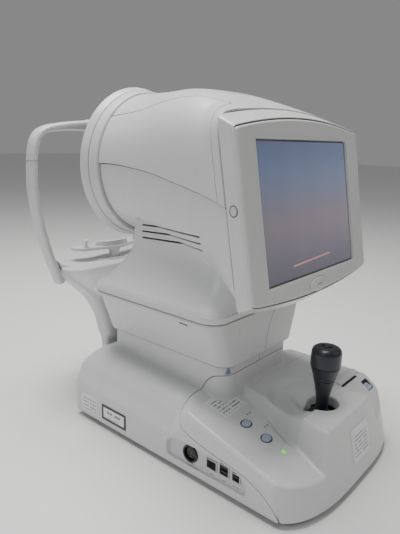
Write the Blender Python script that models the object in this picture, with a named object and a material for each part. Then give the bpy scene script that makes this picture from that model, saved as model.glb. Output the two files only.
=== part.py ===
"""Table-top eye refraction and corneal wavefront analyser, for an optician's table.

Frame: origin at the centre of the bounding box, on the table; +Z up; the operator sits at -Y,
the patient at +Y, and X = 0 is the plane of symmetry of the stand and of the measuring head.
All lengths below are millimetres; add_object() turns them into metres.
"""
import math

import bmesh
import bpy
from mathutils import Matrix, Vector

MM = 0.001                      # metres in a millimetre
GAP = 0.3                       # clearance between neighbouring pieces
WELD = 0.00001                  # metres; closer corners left by a cut are one corner

# ---- stand ---------------------------------------------------------------------------------
BASE_HALF = 138.0               # half the width of the stand
BASE_REAR = 138.0
BASE_FRONT = -250.0
BASE_BOTTOM = 8.0               # lower edge of the covers, above the rubber feet
SHELL = 3.0                     # wall of every moulded cover
DECK_BREAK = -62.0              # where the shoulder stops and the control deck starts
POD_TOP = 88.5                  # raised block that carries the joystick
DOOR_REAR = -100.0               # printer door, along Y
DOOR_FRONT = -185.0
DOOR_LEFT = 61.0
DOOR_RIGHT = 118.0
DOOR_TOP = 88.0

# ---- column, skirt and lip -----------------------------------------------------------------
COLUMN_HALF = 79.0
COLUMN_FRONT = -92.0
COLUMN_REAR = 126.0
COLUMN_TOP = 172.0
COLLAR_TOP = 114.0              # deck cover collar in front of the column
SKIRT_BOTTOM = 129.0
LIP_BOTTOM = 190.0
LIP_TOP = 195.0
LIP_HALF = 117.0
LIP_FRONT = -104.0
LIP_REAR = 134.0

# ---- measuring head ------------------------------------------------------------------------
AXIS_Z = 369.0                  # optical axis above the table
DISC_REAR = 152.0               # patient side of the round face
DISC_JOINT = 138.0
DISC_FRONT = 122.0
DISC_RADIUS = 111.3
DRUM_RADIUS = 101.0
FLANGE_BOTTOM = 196.5
FLANGE_TOP = 205.0
FLANGE_HALF = 118.0
FLANGE_FRONT = -105.0
FLANGE_REAR = 126.0

# ---- display -------------------------------------------------------------------------------
TILT = math.radians(10.4)       # the screen leans back
SCREEN_CENTRE = Vector((0.0, -154.0, 333.0))
SCREEN_WIDTH = 211.2
SCREEN_HEIGHT = 158.4
DISPLAY_HALF = 139.5             # at the front; the case tapers and deepens to the rear
DISPLAY_TAPER = 5.5
DISPLAY_DEPTH = 27.0            # display case in front of the head's front frame
BEZEL_DEPTH = 8.0

# ---- patient side --------------------------------------------------------------------------
ARCH_Y = 218.0
ARCH_DEPTH = 22.0
ARCH_WIDTH = 10.0
PLATFORM_TOP = 209.0
CHIN_Y = 219.0

# ---- controls ------------------------------------------------------------------------------
STICK_XY = (0.0, -190.0)
STICK_PIVOT = 50.0
WELL_RADIUS = 22.0
DOME_OUT = 28.0                 # dust cap: a spherical shell about the stick's pivot
DOME_IN = 26.0
DECK_SLOPE = math.radians(14.0)
BUTTON_X = -83.0
BUTTON_Y = (-133.0, -163.0)

FINISHES = {                    # colour, roughness, metallic
    "shell_white": ((0.78, 0.79, 0.78), 0.42, 0.0),
    "bezel_grey": ((0.72, 0.73, 0.72), 0.45, 0.0),
    "pin_white": ((0.86, 0.86, 0.84), 0.35, 0.0),
    "pad_white": ((0.80, 0.80, 0.78), 0.60, 0.0),
    "black_rubber": ((0.03, 0.03, 0.03), 0.75, 0.0),
    "black_plastic": ((0.02, 0.02, 0.025), 0.38, 0.0),
    "button_blue": ((0.42, 0.47, 0.62), 0.35, 0.0),
    "led_green": ((0.20, 0.75, 0.15), 0.30, 0.0),
    "screen_glass": ((0.32, 0.36, 0.50), 0.12, 0.0),
    "lens_glass": ((0.25, 0.32, 0.38), 0.05, 0.0),
    "steel": ((0.60, 0.61, 0.62), 0.30, 1.0),
    "alloy": ((0.66, 0.67, 0.68), 0.42, 1.0),
    "board_green": ((0.05, 0.25, 0.12), 0.55, 0.0),
    "paper": ((0.90, 0.90, 0.87), 0.80, 0.0),
    "cone_black": ((0.05, 0.05, 0.055), 0.45, 0.0),
}


# ---- tools ---------------------------------------------------------------------------------
def clear_scene():
    for obj in list(bpy.data.objects):
        bpy.data.objects.remove(obj)


def material(finish):
    made = bpy.data.materials.get(finish)
    if made:
        return made
    colour, roughness, metallic = FINISHES[finish]
    made = bpy.data.materials.new(finish)
    made.use_nodes = True
    shader = made.node_tree.nodes["Principled BSDF"]
    shader.inputs["Base Color"].default_value = (*colour, 1.0)
    shader.inputs["Roughness"].default_value = roughness
    shader.inputs["Metallic"].default_value = metallic
    made.diffuse_color = (*colour, 1.0)
    return made


def add_object(name, bm, finish, origin=(0.0, 0.0, 0.0)):
    """Turn a bmesh in millimetres into an object in metres whose origin is the point given."""
    bmesh.ops.recalc_face_normals(bm, faces=bm.faces)
    bmesh.ops.translate(bm, verts=bm.verts, vec=-Vector(origin))
    bmesh.ops.scale(bm, verts=bm.verts, vec=(MM, MM, MM))
    mesh = bpy.data.meshes.new(name)
    bm.to_mesh(mesh)
    bm.free()
    mesh.materials.append(material(finish))
    mesh.shade_smooth()
    mesh.set_sharp_from_angle(angle=math.radians(35))
    obj = bpy.data.objects.new(name, mesh)
    obj.location = Vector(origin) * MM
    bpy.context.collection.objects.link(obj)
    return obj


def combine(obj, tool, operation="DIFFERENCE"):
    """Cut, join or intersect obj with tool, and use the tool up."""
    modifier = obj.modifiers.new("combine", "BOOLEAN")
    modifier.operation = operation
    modifier.object = tool
    bpy.context.view_layer.update()
    evaluated = obj.evaluated_get(bpy.context.evaluated_depsgraph_get())
    mesh = bpy.data.meshes.new_from_object(evaluated)
    obj.modifiers.clear()
    bm = bmesh.new()
    bm.from_mesh(mesh)
    bmesh.ops.remove_doubles(bm, verts=bm.verts, dist=WELD)
    bmesh.ops.dissolve_degenerate(bm, edges=bm.edges, dist=WELD)
    bm.to_mesh(mesh)
    bm.free()
    worn = obj.data
    obj.data = mesh
    bpy.data.meshes.remove(worn)
    bpy.data.objects.remove(tool)
    return obj


def duplicate(obj, name):
    copy = obj.copy()
    copy.data = obj.data.copy()
    copy.name = name
    bpy.context.collection.objects.link(copy)
    return copy


def loft(rings):
    """Skin a list of rings of equal length and close both ends."""
    bm = bmesh.new()
    rows = [[bm.verts.new(point) for point in ring] for ring in rings]
    for low, high in zip(rows, rows[1:]):
        for i in range(len(low)):
            j = (i + 1) % len(low)
            bm.faces.new((low[i], low[j], high[j], high[i]))
    bm.faces.new(reversed(rows[0]))
    bm.faces.new(rows[-1])
    return bm


def arc(centre, radius, start, stop, steps):
    angles = [math.radians(start + (stop - start) * i / steps) for i in range(steps + 1)]
    return [(centre[0] + radius * math.cos(a), centre[1] + radius * math.sin(a)) for a in angles]


def rounded_rect(x0, x1, y0, y1, radius, steps=4):
    corners = ((x1, y1, 0), (x0, y1, 90), (x0, y0, 180), (x1, y0, 270))
    points = []
    for x, y, start in corners:
        cx = x - radius if x == x1 else x + radius
        cy = y - radius if y == y1 else y + radius
        points += arc((cx, cy), radius, start, start + 90, steps)
    return points


def slab(name, outline, z0, z1, finish, origin=(0.0, 0.0, 0.0)):
    """Extrude an outline in X and Y from z0 to z1."""
    rings = [[(x, y, z) for x, y in outline] for z in (z0, z1)]
    return add_object(name, loft(rings), finish, origin)


def side_slab(name, outline, x0, x1, finish, origin=(0.0, 0.0, 0.0)):
    """Extrude an outline in Y and Z from x0 to x1."""
    rings = [[(x, y, z) for y, z in outline] for x in (x0, x1)]
    return add_object(name, loft(rings), finish, origin)


def front_slab(name, outline, y0, y1, finish, origin=(0.0, 0.0, 0.0)):
    """Extrude an outline in X and Z from y0 to y1."""
    rings = [[(x, y, z) for x, z in outline] for y in (y0, y1)]
    return add_object(name, loft(rings), finish, origin)


def box(name, low, high, finish, origin=(0.0, 0.0, 0.0)):
    outline = [(low[0], low[1]), (high[0], low[1]), (high[0], high[1]), (low[0], high[1])]
    return slab(name, outline, low[2], high[2], finish, origin)


def turned(name, profile, foot, axis, finish, segments=24, origin=None, start=0.0):
    """Turn a profile of (radius, height) about an axis through foot; a radius of 0 is a pole."""
    turn = Vector((0.0, 0.0, 1.0)).rotation_difference(Vector(axis)).to_matrix()
    bm = bmesh.new()
    rows = []
    for radius, height in profile:
        count = 1 if radius == 0 else segments
        row = []
        for i in range(count):
            angle = start + 2 * math.pi * i / segments
            local = Vector((radius * math.cos(angle), radius * math.sin(angle), height))
            row.append(bm.verts.new(turn @ local + Vector(foot)))
        rows.append(row)
    closed = profile[0][0] > 0
    pairs = list(zip(rows, rows[1:]))
    if closed:
        pairs.append((rows[-1], rows[0]))
    for low, high in pairs:
        for i in range(segments):
            j = (i + 1) % segments
            corners = []
            for vert in (low[i % len(low)], low[j % len(low)], high[j % len(high)], high[i % len(high)]):
                if vert not in corners:
                    corners.append(vert)
            if len(corners) > 2:
                bm.faces.new(corners)
    return add_object(name, bm, finish, foot if origin is None else origin)


def rod(name, start, end, radius, finish, segments=20):
    """A plain round bar between two points."""
    run = Vector(end) - Vector(start)
    profile = [(0, 0), (radius, 0), (radius, run.length), (0, run.length)]
    return turned(name, profile, start, run.normalized(), finish, segments)


def lerp_table(table, at):
    """Read a value from a short table of (place, value) rows, straight between its rows."""
    rows = sorted(table)
    if at <= rows[0][0]:
        return rows[0][1]
    for (a, va), (b, vb) in zip(rows, rows[1:]):
        if at <= b:
            return va + (vb - va) * (at - a) / (b - a)
    return rows[-1][1]


# ---- stand: the shape of its top ------------------------------------------------------------
def front_edge(x):
    """The bowed front of the stand at its lower edge."""
    return lerp_table([(0, BASE_FRONT), (30, BASE_FRONT), (76, -247), (107, -239), (124, -230),
                       (BASE_HALF, -214)],
                      abs(x))


def half_width(y):
    """Half the width of the stand at its lower edge."""
    return lerp_table([(BASE_FRONT, 42), (-247, 76), (-239, 107), (-230, 124), (-222, 134),
                       (-214, BASE_HALF)], y)


def shoulder_height(x, y):
    """Rounded shoulder beside the column, falling a little towards the operator."""
    across = lerp_table([(0, 99), (80, 99), (90, 101), (99, 99), (113, 93), (124, 84), (131, 70),
                         (BASE_HALF, 57)],
                        abs(x))
    return across - 0.055 * (BASE_REAR - y)


def deck_height(x, y):
    """Control deck in front of the shoulder: left wing, joystick pod and printer wing."""
    run = y - DECK_BREAK
    wing = 85 + 0.2 * run - 0.00024 * run * run
    roll = lerp_table([(-187, 12), (-94, 1.5), (0, 0)], y)
    wing -= roll * max(0.0, (abs(x) - 100) / 32) ** 2
    flank = 149.7 - 3.955 * abs(x) - 0.798 * y
    pod = min(POD_TOP, flank)
    printer = -1000.0
    if x > 0:
        printer = lerp_table([(-240, 52), (-225, 67), (-202, 80), (-187, DOOR_TOP - 0.5)], y)
        printer -= 30 * max(0.0, (x - 116) / 22) ** 2
    return max(wing, pod, printer)


def top_height(x, y):
    blend = min(1.0, max(0.0, (DECK_BREAK + 12 - y) / 20))
    high = shoulder_height(x, y) * (1 - blend) + deck_height(x, y) * blend
    edge = lerp_table([(-187, 44), (-117, 52), (DECK_BREAK, 57), (BASE_REAR, 57)], y)
    if abs(x) >= half_width(y) - 0.1:
        high = min(high, edge)
    nose = BASE_BOTTOM + 2 + 4.0 * (y - front_edge(x))
    return max(BASE_BOTTOM + 2, min(high, nose))


STATIONS_Y = (138, 60, -20, -50, -62, -78, -94, -117, -142, -165, -187, -202, -214, -222, -230, -235,
              -239, -243, -247, -250)
STATIONS_X = (-1, -0.955, -0.90, -0.82, -0.72, -0.58, -0.515, -0.45, 0.45, 0.515, 0.58,
              0.72, 0.84, 0.90, 0.955, 1)
DECK_SINK = 5.0                 # the deck is ribbed, so its hollow starts lower
HOLLOW_X = (-1, -0.90, -0.72, -0.515, -0.45, 0.45, 0.515, 0.72, 0.90, 1)


def base_body(name, inset, floor):
    """Solid of the stand's outer form, drawn in by inset and reaching down to floor."""
    rings = []
    for y in STATIONS_Y[::2] if inset else STATIONS_Y:
        wide = half_width(y)
        ring = [(-(wide - inset), y, floor)]
        for share in HOLLOW_X if inset else STATIONS_X:
            x = share * wide
            low = floor + 2 if inset else BASE_BOTTOM + 2
            ribbed = inset and y < DECK_BREAK - 20 and abs(share) < 0.8
            sink = inset + (DECK_SINK if ribbed else 0.0)
            ring.append((share * (wide - inset), y, max(low, top_height(x, y) - sink)))
        ring.append((wide - inset, y, floor))
        rings.append(ring)
    if inset:
        rings[0] = [(x, BASE_REAR - inset, z) for x, y, z in rings[0]]
        rings = [[(x, y + inset if y < 0 else y, z) for x, y, z in ring] for ring in rings]
    return add_object(name, loft(rings), "shell_white")


def column_body(name, inset, z0, z1):
    outline = rounded_rect(inset - COLUMN_HALF, COLUMN_HALF - inset, COLUMN_FRONT + inset,
                           COLUMN_REAR - inset, 20 - inset, 4)
    return slab(name, outline, z0, z1, "shell_white")


def seam_outline(shift):
    """Side view, in Y and Z, of all that belongs to the deck cover."""
    curve = [(-66, 88), (-65, 73), (-72, 62), (-85, 57), (-116, 51), (-145, 47), (-173, 42), (-186, 36),
             (-199, 28), (-210, 18), (-216, 11), (-218, 0)]
    points = [(-400.0, COLLAR_TOP - shift), (-76.0 - shift, COLLAR_TOP - shift)]
    for y, z in curve:
        points.append((y - shift, z + shift * 0.8))
    points.append((-400.0, 0.0))
    return points


def make_base_covers():
    shell = base_body("rear_base_cover", 0, BASE_BOTTOM)
    combine(shell, column_body("column", 0, 60, COLUMN_TOP), "UNION")
    combine(shell, base_body("hollow", SHELL + 1.5, -10))
    combine(shell, column_body("hollow", SHELL, 40, COLUMN_TOP + 20))
    deck = duplicate(shell, "deck_cover")
    combine(deck, side_slab("deck_side", seam_outline(GAP), -200, 200, "shell_white"), "INTERSECT")
    combine(shell, side_slab("deck_side", seam_outline(-GAP), -200, 200, "shell_white"))
    return shell, deck


def recess_outline(grow):
    """Side view, in Y and Z, of the window around the sockets."""
    points = [(-49, 36), (-54, 42), (-70, 45.5), (-104, 46), (-140, 45.5), (-160, 42), (-170, 36),
              (-173, 26),
              (-170, 18), (-164, 16), (-56, 15), (-49, 19)]
    middle = Vector((-110, 30))
    grown = []
    for point in points:
        away = Vector(point) - middle
        grown.append(tuple(middle + away + away.normalized() * grow))
    return grown


def hole(name, centre, axis, radius, length, segments=24, stretch=None):
    """A round or oval cutter centred on a point."""
    direction = Vector(axis).normalized()
    foot = Vector(centre) - direction * length / 2
    profile = [(0, 0), (radius, 0), (radius, length), (0, length)]
    cutter = turned(name, profile, foot, direction, "black_plastic", segments, origin=centre)
    if stretch:
        cutter.data.transform(Matrix.Diagonal((*stretch, 1.0)))
    return cutter


SOCKETS = {                     # name: lowest and highest Y and Z of the plug's mouth
    "lan_jack": (-128.5, -112.5, 26.3, 39.8),
    "usb_host_jack": (-146.7, -132.0, 26.8, 42.0),
    "usb_device_jack": (-162.8, -150.6, 27.5, 38.6),
}
MULTIPIN = (-87.0, 33.0, 11.5)  # Y, Z and radius of the round socket
PANEL_OUT = -134.2
PANEL_IN = -131.5


def make_side_sockets(cover):
    combine(cover, side_slab("window", recess_outline(0), -150, -130, "shell_white"))
    panel = side_slab("socket_panel", recess_outline(-GAP), PANEL_OUT, PANEL_IN, "shell_white")
    y, z, radius = MULTIPIN
    combine(panel, hole("bore", (PANEL_IN, y, z), (1, 0, 0), radius + GAP, 30))
    rim = [(0, 1.2), (radius - 4, 1.2), (radius - 4, 6), (radius - 2, 6), (radius - 2, 0), (radius, 0),
           (radius, 14), (0, 14)]
    turned("multipin_socket", rim, (-137.0, y, z), (1, 0, 0), "black_plastic", 20)
    for name, (y0, y1, z0, z1) in SOCKETS.items():
        combine(panel, box("bore", (-150, y0 - GAP, z0 - GAP), (-120, y1 + GAP, z1 + GAP), "steel"))
        jack = box(name, (-135.6, y0, z0), (-121.0, y1, z1), "steel")
        combine(jack, box("mouth", (-140, y0 + 1.3, z0 + 1.3), (-124.5, y1 - 1.3, z1 - 1.3), "steel"))
    return panel


def on_deck(x, y, rise):
    """A point above the control deck, and the deck's normal there."""
    normal = Vector((0.0, -math.sin(DECK_SLOPE), math.cos(DECK_SLOPE)))
    return Vector((x, y, deck_height(x, y))) + normal * rise, normal


def oval_button(name, x, y, half_long, half_wide, finish, cover):
    """An oval push button that stands 2 mm proud of the deck in its own hole."""
    top, normal = on_deck(x, y, 0.0)
    profile = [(0, -9), (1, -9), (1, 1.0), (0.86, 1.7), (0.6, 2.1), (0, 2.3)]
    button = turned(name, profile, top, normal, finish, 20)
    stretch = Matrix.Diagonal((half_long, half_wide, 1.0))
    turn = Vector((0.0, 0.0, 1.0)).rotation_difference(normal).to_matrix()
    for vert in button.data.vertices:
        local = turn.transposed() @ vert.co
        along = local.z
        local = stretch @ local
        local.z = along
        vert.co = turn @ local
    cutter = hole("bore", top, normal, 1.0, 30, 20)
    for vert in cutter.data.vertices:
        local = turn.transposed() @ vert.co
        along = local.z
        wide = Matrix.Diagonal((half_long + GAP, half_wide + GAP, 1.0))
        local = wide @ local
        local.z = along
        vert.co = turn @ local
    combine(cover, cutter)


def make_deck_controls(deck):
    oval_button("chin_up_button", BUTTON_X, BUTTON_Y[0], 7.2, 5.6, "button_blue", deck)
    oval_button("chin_down_button", BUTTON_X, BUTTON_Y[1], 7.2, 5.6, "button_blue", deck)
    oval_button("power_lamp", -84.0, -188.0, 2.6, 2.6, "led_green", deck)


def make_joystick(deck):
    x, y = STICK_XY
    combine(deck, hole("well", (x, y, 80), (0, 0, 1), WELL_RADIUS, 60, 32))
    pivot = (x, y, STICK_PIVOT)
    cup = [(0, -16), (16.5, -16), (16.5, 4), (13.5, 4), (13.5, -9.6), (0, -9.6)]
    turned("joystick_socket", cup, pivot, (0, 0, 1), "alloy", 20)
    gimbal = [(9.5, -2.5), (12.8, -2.5), (12.8, 2.5), (9.5, 2.5)]
    turned("joystick_gimbal", gimbal, pivot, (0, 0, 1), "steel", 20)
    spread = [math.radians(angle) for angle in (10.3, 17, 23, 29, 35)]
    dome = [(DOME_OUT * math.sin(a), DOME_OUT * math.cos(a)) for a in spread]
    dome += [(DOME_IN * math.sin(a), DOME_IN * math.cos(a)) for a in reversed(spread)]
    turned("joystick_dust_cap", dome, pivot, (0, 0, 1), "black_rubber", 24)
    turns = [math.radians(angle) for angle in (0, 30, 60, 90, 120, 150)]
    ball = [(9 * math.sin(a), -9 * math.cos(a)) for a in turns]
    shaft = ball + [(4.5, 32), (7.2, 32), (8.0, 45), (13.4, 70.8), (0, 70.8)]
    turned("joystick_shaft", shaft, pivot, (0, 0, 1), "black_plastic", 20)
    collar = [(0, 71.1), (13.6, 71.1), (14.6, 74), (16.4, 80.5), (18.6, 88.4), (0, 88.4)]
    turned("joystick_height_ring", collar, pivot, (0, 0, 1), "black_plastic", 24)
    grip = [(0, 88.7), (19.0, 88.7), (19.0, 106), (18.2, 110), (15.8, 113.6), (6.4, 114.6), (6.4, 102),
            (0, 102)]
    turned("joystick_grip", grip, pivot, (0, 0, 1), "black_plastic", 24)
    button = [(0, 105), (6.0, 105), (6.0, 115.8), (4.6, 117.0), (0, 117.4)]
    turned("joystick_trigger", button, pivot, (0, 0, 1), "black_plastic", 20)


def make_printer(deck):
    """Printer bay under a hinged lid on the right wing."""
    hinge_y = DOOR_REAR - 3.5
    hinge_z = DOOR_TOP - 3.0
    middle = (DOOR_LEFT + DOOR_RIGHT) / 2
    door = rounded_rect(DOOR_LEFT, DOOR_RIGHT, DOOR_FRONT, DOOR_REAR, 3, 2)
    pocket = rounded_rect(DOOR_LEFT - GAP, DOOR_RIGHT + GAP, DOOR_FRONT - 5, DOOR_REAR + 4, 3, 2)
    combine(deck, slab("pocket", pocket, 40, 130, "shell_white"))
    lid = slab("printer_door", door, DOOR_TOP - 5.5, DOOR_TOP, "shell_white", (middle, hinge_y, hinge_z))
    combine(lid, hole("pin_bore", (middle, hinge_y, hinge_z), (1, 0, 0), 1.3, 80, 12))
    rod("door_hinge_pin", (DOOR_LEFT + 0.6, hinge_y, hinge_z), (DOOR_RIGHT - 0.6, hinge_y, hinge_z), 1.0,
        "steel", 12)
    tray = box("printer_tray", (DOOR_LEFT, DOOR_FRONT - 2, 32), (DOOR_RIGHT, DOOR_REAR - 7, DOOR_TOP - 6.2),
               "black_plastic")
    combine(tray, box("bay", (DOOR_LEFT + 2, DOOR_FRONT + 9, 34), (DOOR_RIGHT - 2, DOOR_REAR - 9, 120),
                      "black_plastic"))
    bar = box("tear_bar", (DOOR_LEFT + 1, DOOR_FRONT - 4.2, DOOR_TOP - 8),
              (DOOR_RIGHT - 16, DOOR_FRONT - 1.6, DOOR_TOP - 2), "black_plastic")
    combine(tray, bar, "UNION")
    roll = [(6.0, 0), (20.0, 0), (20.0, 50), (6.0, 50)]
    turned("paper_roll", roll, (DOOR_LEFT + 3.7, -133.0, 57.0), (1, 0, 0), "paper", 28)
    rod("platen_roller", (DOOR_LEFT + 3.0, -170.0, 74.0), (DOOR_RIGHT - 3.0, -170.0, 74.0), 5.0,
        "black_rubber", 16)
    top = deck_height(108, -206)
    combine(deck, slab("socket", rounded_rect(99, 117, -213, -199, 1.5, 2), 40, 130, "shell_white"))
    slab("door_release_button", rounded_rect(101, 115, -211, -201, 1.5, 2), top - 9.5, top + 0.5,
         "button_blue")


def make_base():
    pan = rounded_rect(-132.5, 132.5, -212, 132.5, 12, 3)
    slab("base_pan", pan, BASE_BOTTOM, BASE_BOTTOM + 3, "alloy")
    for i, (x, y) in enumerate(((-118, 104), (118, 104), (-108, -190), (108, -190)), 1):
        profile = [(0, 0), (13, 0), (14, 2), (12.5, BASE_BOTTOM - GAP), (0, BASE_BOTTOM - GAP)]
        turned(f"rubber_foot_{i}", profile, (x, y, 0), (0, 0, 1), "black_rubber", 20)
    cover, deck = make_base_covers()
    make_side_sockets(cover)
    make_deck_controls(deck)
    make_joystick(deck)
    make_printer(deck)
    rear = BASE_REAR
    combine(cover, box("window", (93, rear - 8, 20), (125, rear + 8, 62), "shell_white"))
    inlet = front_slab("power_inlet", rounded_rect(93.3, 124.7, 20.3, 61.7, 3, 2), rear - 16, rear - 0.5,
                       "black_plastic")
    combine(inlet, box("mouth", (97.5, rear - 12, 23.5), (120.5, rear + 8, 38.5), "black_plastic"))
    combine(inlet, box("mouth", (100, rear - 12, 46.5), (118, rear + 8, 56.5), "black_plastic"))
    rocker = [(rear - 5.0, 48.0), (rear - 0.1, 48.0), (rear - 1.5, 51.5), (rear - 0.6, 55.0),
              (rear - 5.0, 55.0)]
    side_slab("power_rocker", rocker, 100.6, 117.4, "black_plastic", (109.0, rear - 5.0, 51.5))
    box("power_supply", (62, 14, 11.5), (126, 118, 58), "alloy")
    box("main_board", (-120, -40, 14), (-30, 112, 16), "board_green")


# ---- lift: column, skirt and cross slides ---------------------------------------------------
GUIDE_X = 45.0
GUIDE_Y = 17.0


def skirt_ring(z, inset):
    half = lerp_table([(SKIRT_BOTTOM, 84), (140, 88), (155, 94), (170, 100), (184, 104.5),
                       (LIP_BOTTOM, 106)], z)
    front = lerp_table([(SKIRT_BOTTOM, -98), (LIP_BOTTOM, -95.5)], z)
    rear = lerp_table([(SKIRT_BOTTOM, 131), (LIP_BOTTOM, 130)], z)
    outline = rounded_rect(inset - half, half - inset, front + inset, rear - inset, 22 - inset, 4)
    return outline


def make_lift():
    rings = [[(x, y, z) for x, y in skirt_ring(z, 0)] for z in (SKIRT_BOTTOM, 140, 155, 170, 184)]
    lip = rounded_rect(-LIP_HALF, LIP_HALF, LIP_FRONT, LIP_REAR, 25, 4)
    rings.append([(x, y, LIP_BOTTOM) for x, y in lip])
    rings.append([(x, y, LIP_TOP) for x, y in lip])
    skirt = add_object("lift_skirt", loft(rings), "shell_white")
    levels = (SKIRT_BOTTOM, 155, 170, 184, LIP_BOTTOM)
    inner = [[(x, y, z) for x, y in skirt_ring(z, SHELL)] for z in levels]
    inner[0] = [(x, y, SKIRT_BOTTOM - 5) for x, y, z in inner[0]]
    combine(skirt, add_object("hollow", loft(inner), "shell_white"))
    frame = box("lift_drive_frame", (-56, GUIDE_Y - 22, 17), (56, GUIDE_Y + 22, 24), "steel")
    combine(frame, box("motor", (-22, GUIDE_Y - 21, 20), (22, GUIDE_Y + 21, 60), "alloy"), "UNION")
    for x in (-GUIDE_X, GUIDE_X):
        combine(frame, rod("guide", (x, GUIDE_Y, 20), (x, GUIDE_Y, 170), 8.0, "steel", 20), "UNION")
    rod("lift_screw", (0, GUIDE_Y, 60.5), (0, GUIDE_Y, 168), 5.0, "steel", 20)
    carriage = box("lift_carriage", (-62, GUIDE_Y - 16, 128), (62, GUIDE_Y + 16, LIP_BOTTOM - 3), "alloy")
    plate = box("plate", (-62, GUIDE_Y - 45, LIP_BOTTOM - 7), (62, GUIDE_Y + 45, LIP_BOTTOM - GAP), "alloy")
    combine(carriage, plate, "UNION")
    for x, radius in ((-GUIDE_X, 8.0), (0.0, 5.0), (GUIDE_X, 8.0)):
        combine(carriage, hole("bore", (x, GUIDE_Y, 150), (0, 0, 1), radius + GAP, 70, 20))


RAIL_Y = (-35.0, 69.0)
RAIL_X = (-38.0, 38.0)


def make_cross_slides():
    bed = box("lateral_rails", (-62, RAIL_Y[0] - 5, LIP_TOP + GAP), (62, RAIL_Y[1] + 5, 202), "steel")
    combine(bed, box("space", (-56, RAIL_Y[0] + 5, 190), (56, RAIL_Y[1] - 5, 210), "steel"))
    combine(bed, hole("bore", (0, GUIDE_Y, 199), (1, 0, 0), 3.3, 140, 16))
    rod("lateral_screw", (-61, GUIDE_Y, 199), (61, GUIDE_Y, 199), 3.0, "steel", 16)
    saddle = box("cross_saddle", (-50, -48, 204), (50, 82, 209), "alloy")
    combine(saddle, box("nut", (-8, GUIDE_Y - 8, 195.6), (8, GUIDE_Y + 8, 206), "alloy"), "UNION")
    combine(saddle, hole("bore", (0, GUIDE_Y, 199), (1, 0, 0), 3.3, 40, 16))
    for x in RAIL_X:
        combine(saddle, box("rail", (x - 5, -46, 208), (x + 5, 80, 216), "steel"), "UNION")
    chassis = box("head_chassis", (-66, -60, 218.5), (66, 76, 223), "alloy")
    combine(chassis, box("keel", (-20, -40, 209.6), (20, 74, 220), "alloy"), "UNION")
    combine(chassis, box("post", (-25, -20, 221), (25, 40, 320), "alloy"), "UNION")
    combine(chassis, box("bench", (-60, -62, 318), (60, 104, 326), "alloy"), "UNION")


# ---- measuring head -------------------------------------------------------------------------
def drum_ring(y, half, top, bottom, power, lean, inset, count=32):
    """Ring of the head's drum: from a circle (power 2) to a box with round corners."""
    middle = (top + bottom) / 2
    tall = (top - bottom) / 2 - inset
    points = []
    for i in range(count):
        angle = 2 * math.pi * (i + 0.5) / count
        c = math.cos(angle)
        s = math.sin(angle)
        x = (half - inset) * math.copysign(abs(c) ** (2 / power), c)
        z = middle + tall * math.copysign(abs(s) ** (2 / power), s)
        points.append((x, y + lean * (z - AXIS_Z), z))
    return points


def drum(name, inset, rear, front):
    rows = ((DISC_FRONT, DRUM_RADIUS, 470, 268, 2.0, 0.0), (70, 103.5, 471, 266, 2.15, 0.0),
            (20, 109, 473, 262, 2.5, 0.02), (-30, 116, 469, 256, 3.0, 0.06),
            (-75, 121.5, 459, 244, 3.8, 0.12), (-100, 127.5, 452, 233, 5.6, 0.16),
            (-118, 133.5, 446.5, 228, 8.0, 0.183))
    rings = [drum_ring(*row, inset) for row in rows]
    if rear:
        rings.insert(0, [(x, y + rear, z) for x, y, z in rings[0]])
    if front:
        rings.append([(x, y - front, z) for x, y, z in rings[-1]])
    return add_object(name, loft(rings), "shell_white")


def neck(name, inset, low):
    rows = [(FLANGE_BOTTOM, FLANGE_HALF, FLANGE_FRONT, FLANGE_REAR, 25),
            (FLANGE_TOP, FLANGE_HALF, FLANGE_FRONT, FLANGE_REAR, 25), (207.5, 116, -104, 124, 25),
            (215, 108, -102, 117, 25), (228, 98, -101, 106, 25), (244, 90, -100, 94, 25),
            (262, 85, -100, 85, 24), (300, 84, -95, 80, 22)]
    rings = []
    for z, half, front, rear, radius in rows:
        outline = rounded_rect(inset - half, half - inset, front + inset, rear - inset, radius - inset, 4)
        rings.append([(x, y, z) for x, y in outline])
    if low:
        rings.insert(0, [(x, y, z - low) for x, y, z in rings[0]])
    return add_object(name, loft(rings), "shell_white")


def belt_outline(shift):
    """Side view, in Y and Z, of what lies under the belt line of the head."""
    line = [(200, 366), (118, 372), (93, 373), (60, 371), (17, 367), (-41, 357), (-97, 346), (-200, 322)]
    return [(y, z + shift) for y, z in line] + [(-200.0, 100.0), (200.0, 100.0)]


def make_head_covers():
    shell = drum("neck_cover", 0, 0, 0)
    combine(shell, neck("neck", 0, 0), "UNION")
    combine(shell, drum("hollow", SHELL, 20, 20))
    combine(shell, neck("hollow", SHELL, 20))
    combine(shell, front_slab("lid_cut", [(-150, 150), (150, 150), (150, 330), (-150, 330)], 160, 121.9,
                              "shell_white"))
    upper = duplicate(shell, "roof_cover")
    combine(shell, side_slab("belt", belt_outline(0), -200, 200, "shell_white"), "INTERSECT")
    combine(upper, side_slab("belt", belt_outline(GAP), -200, 200, "shell_white"))
    lean = 0.16
    for side, sign in (("left", -1), ("right", 1)):
        panel = duplicate(upper, f"head_side_{side}")
        edge = [(-98 + lean * (z - AXIS_Z), z) for z in (480, 300)]
        outline = [(DISC_FRONT + 10, 300), (DISC_FRONT + 10, 480)] + edge
        combine(panel, side_slab("zone", outline, 76 * sign, 200 * sign, "shell_white"), "INTERSECT")
        grown = [(y - GAP if y < 0 else y, z) for y, z in outline]
        combine(upper, side_slab("zone", grown, (76 - GAP) * sign, 200 * sign, "shell_white"))


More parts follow.
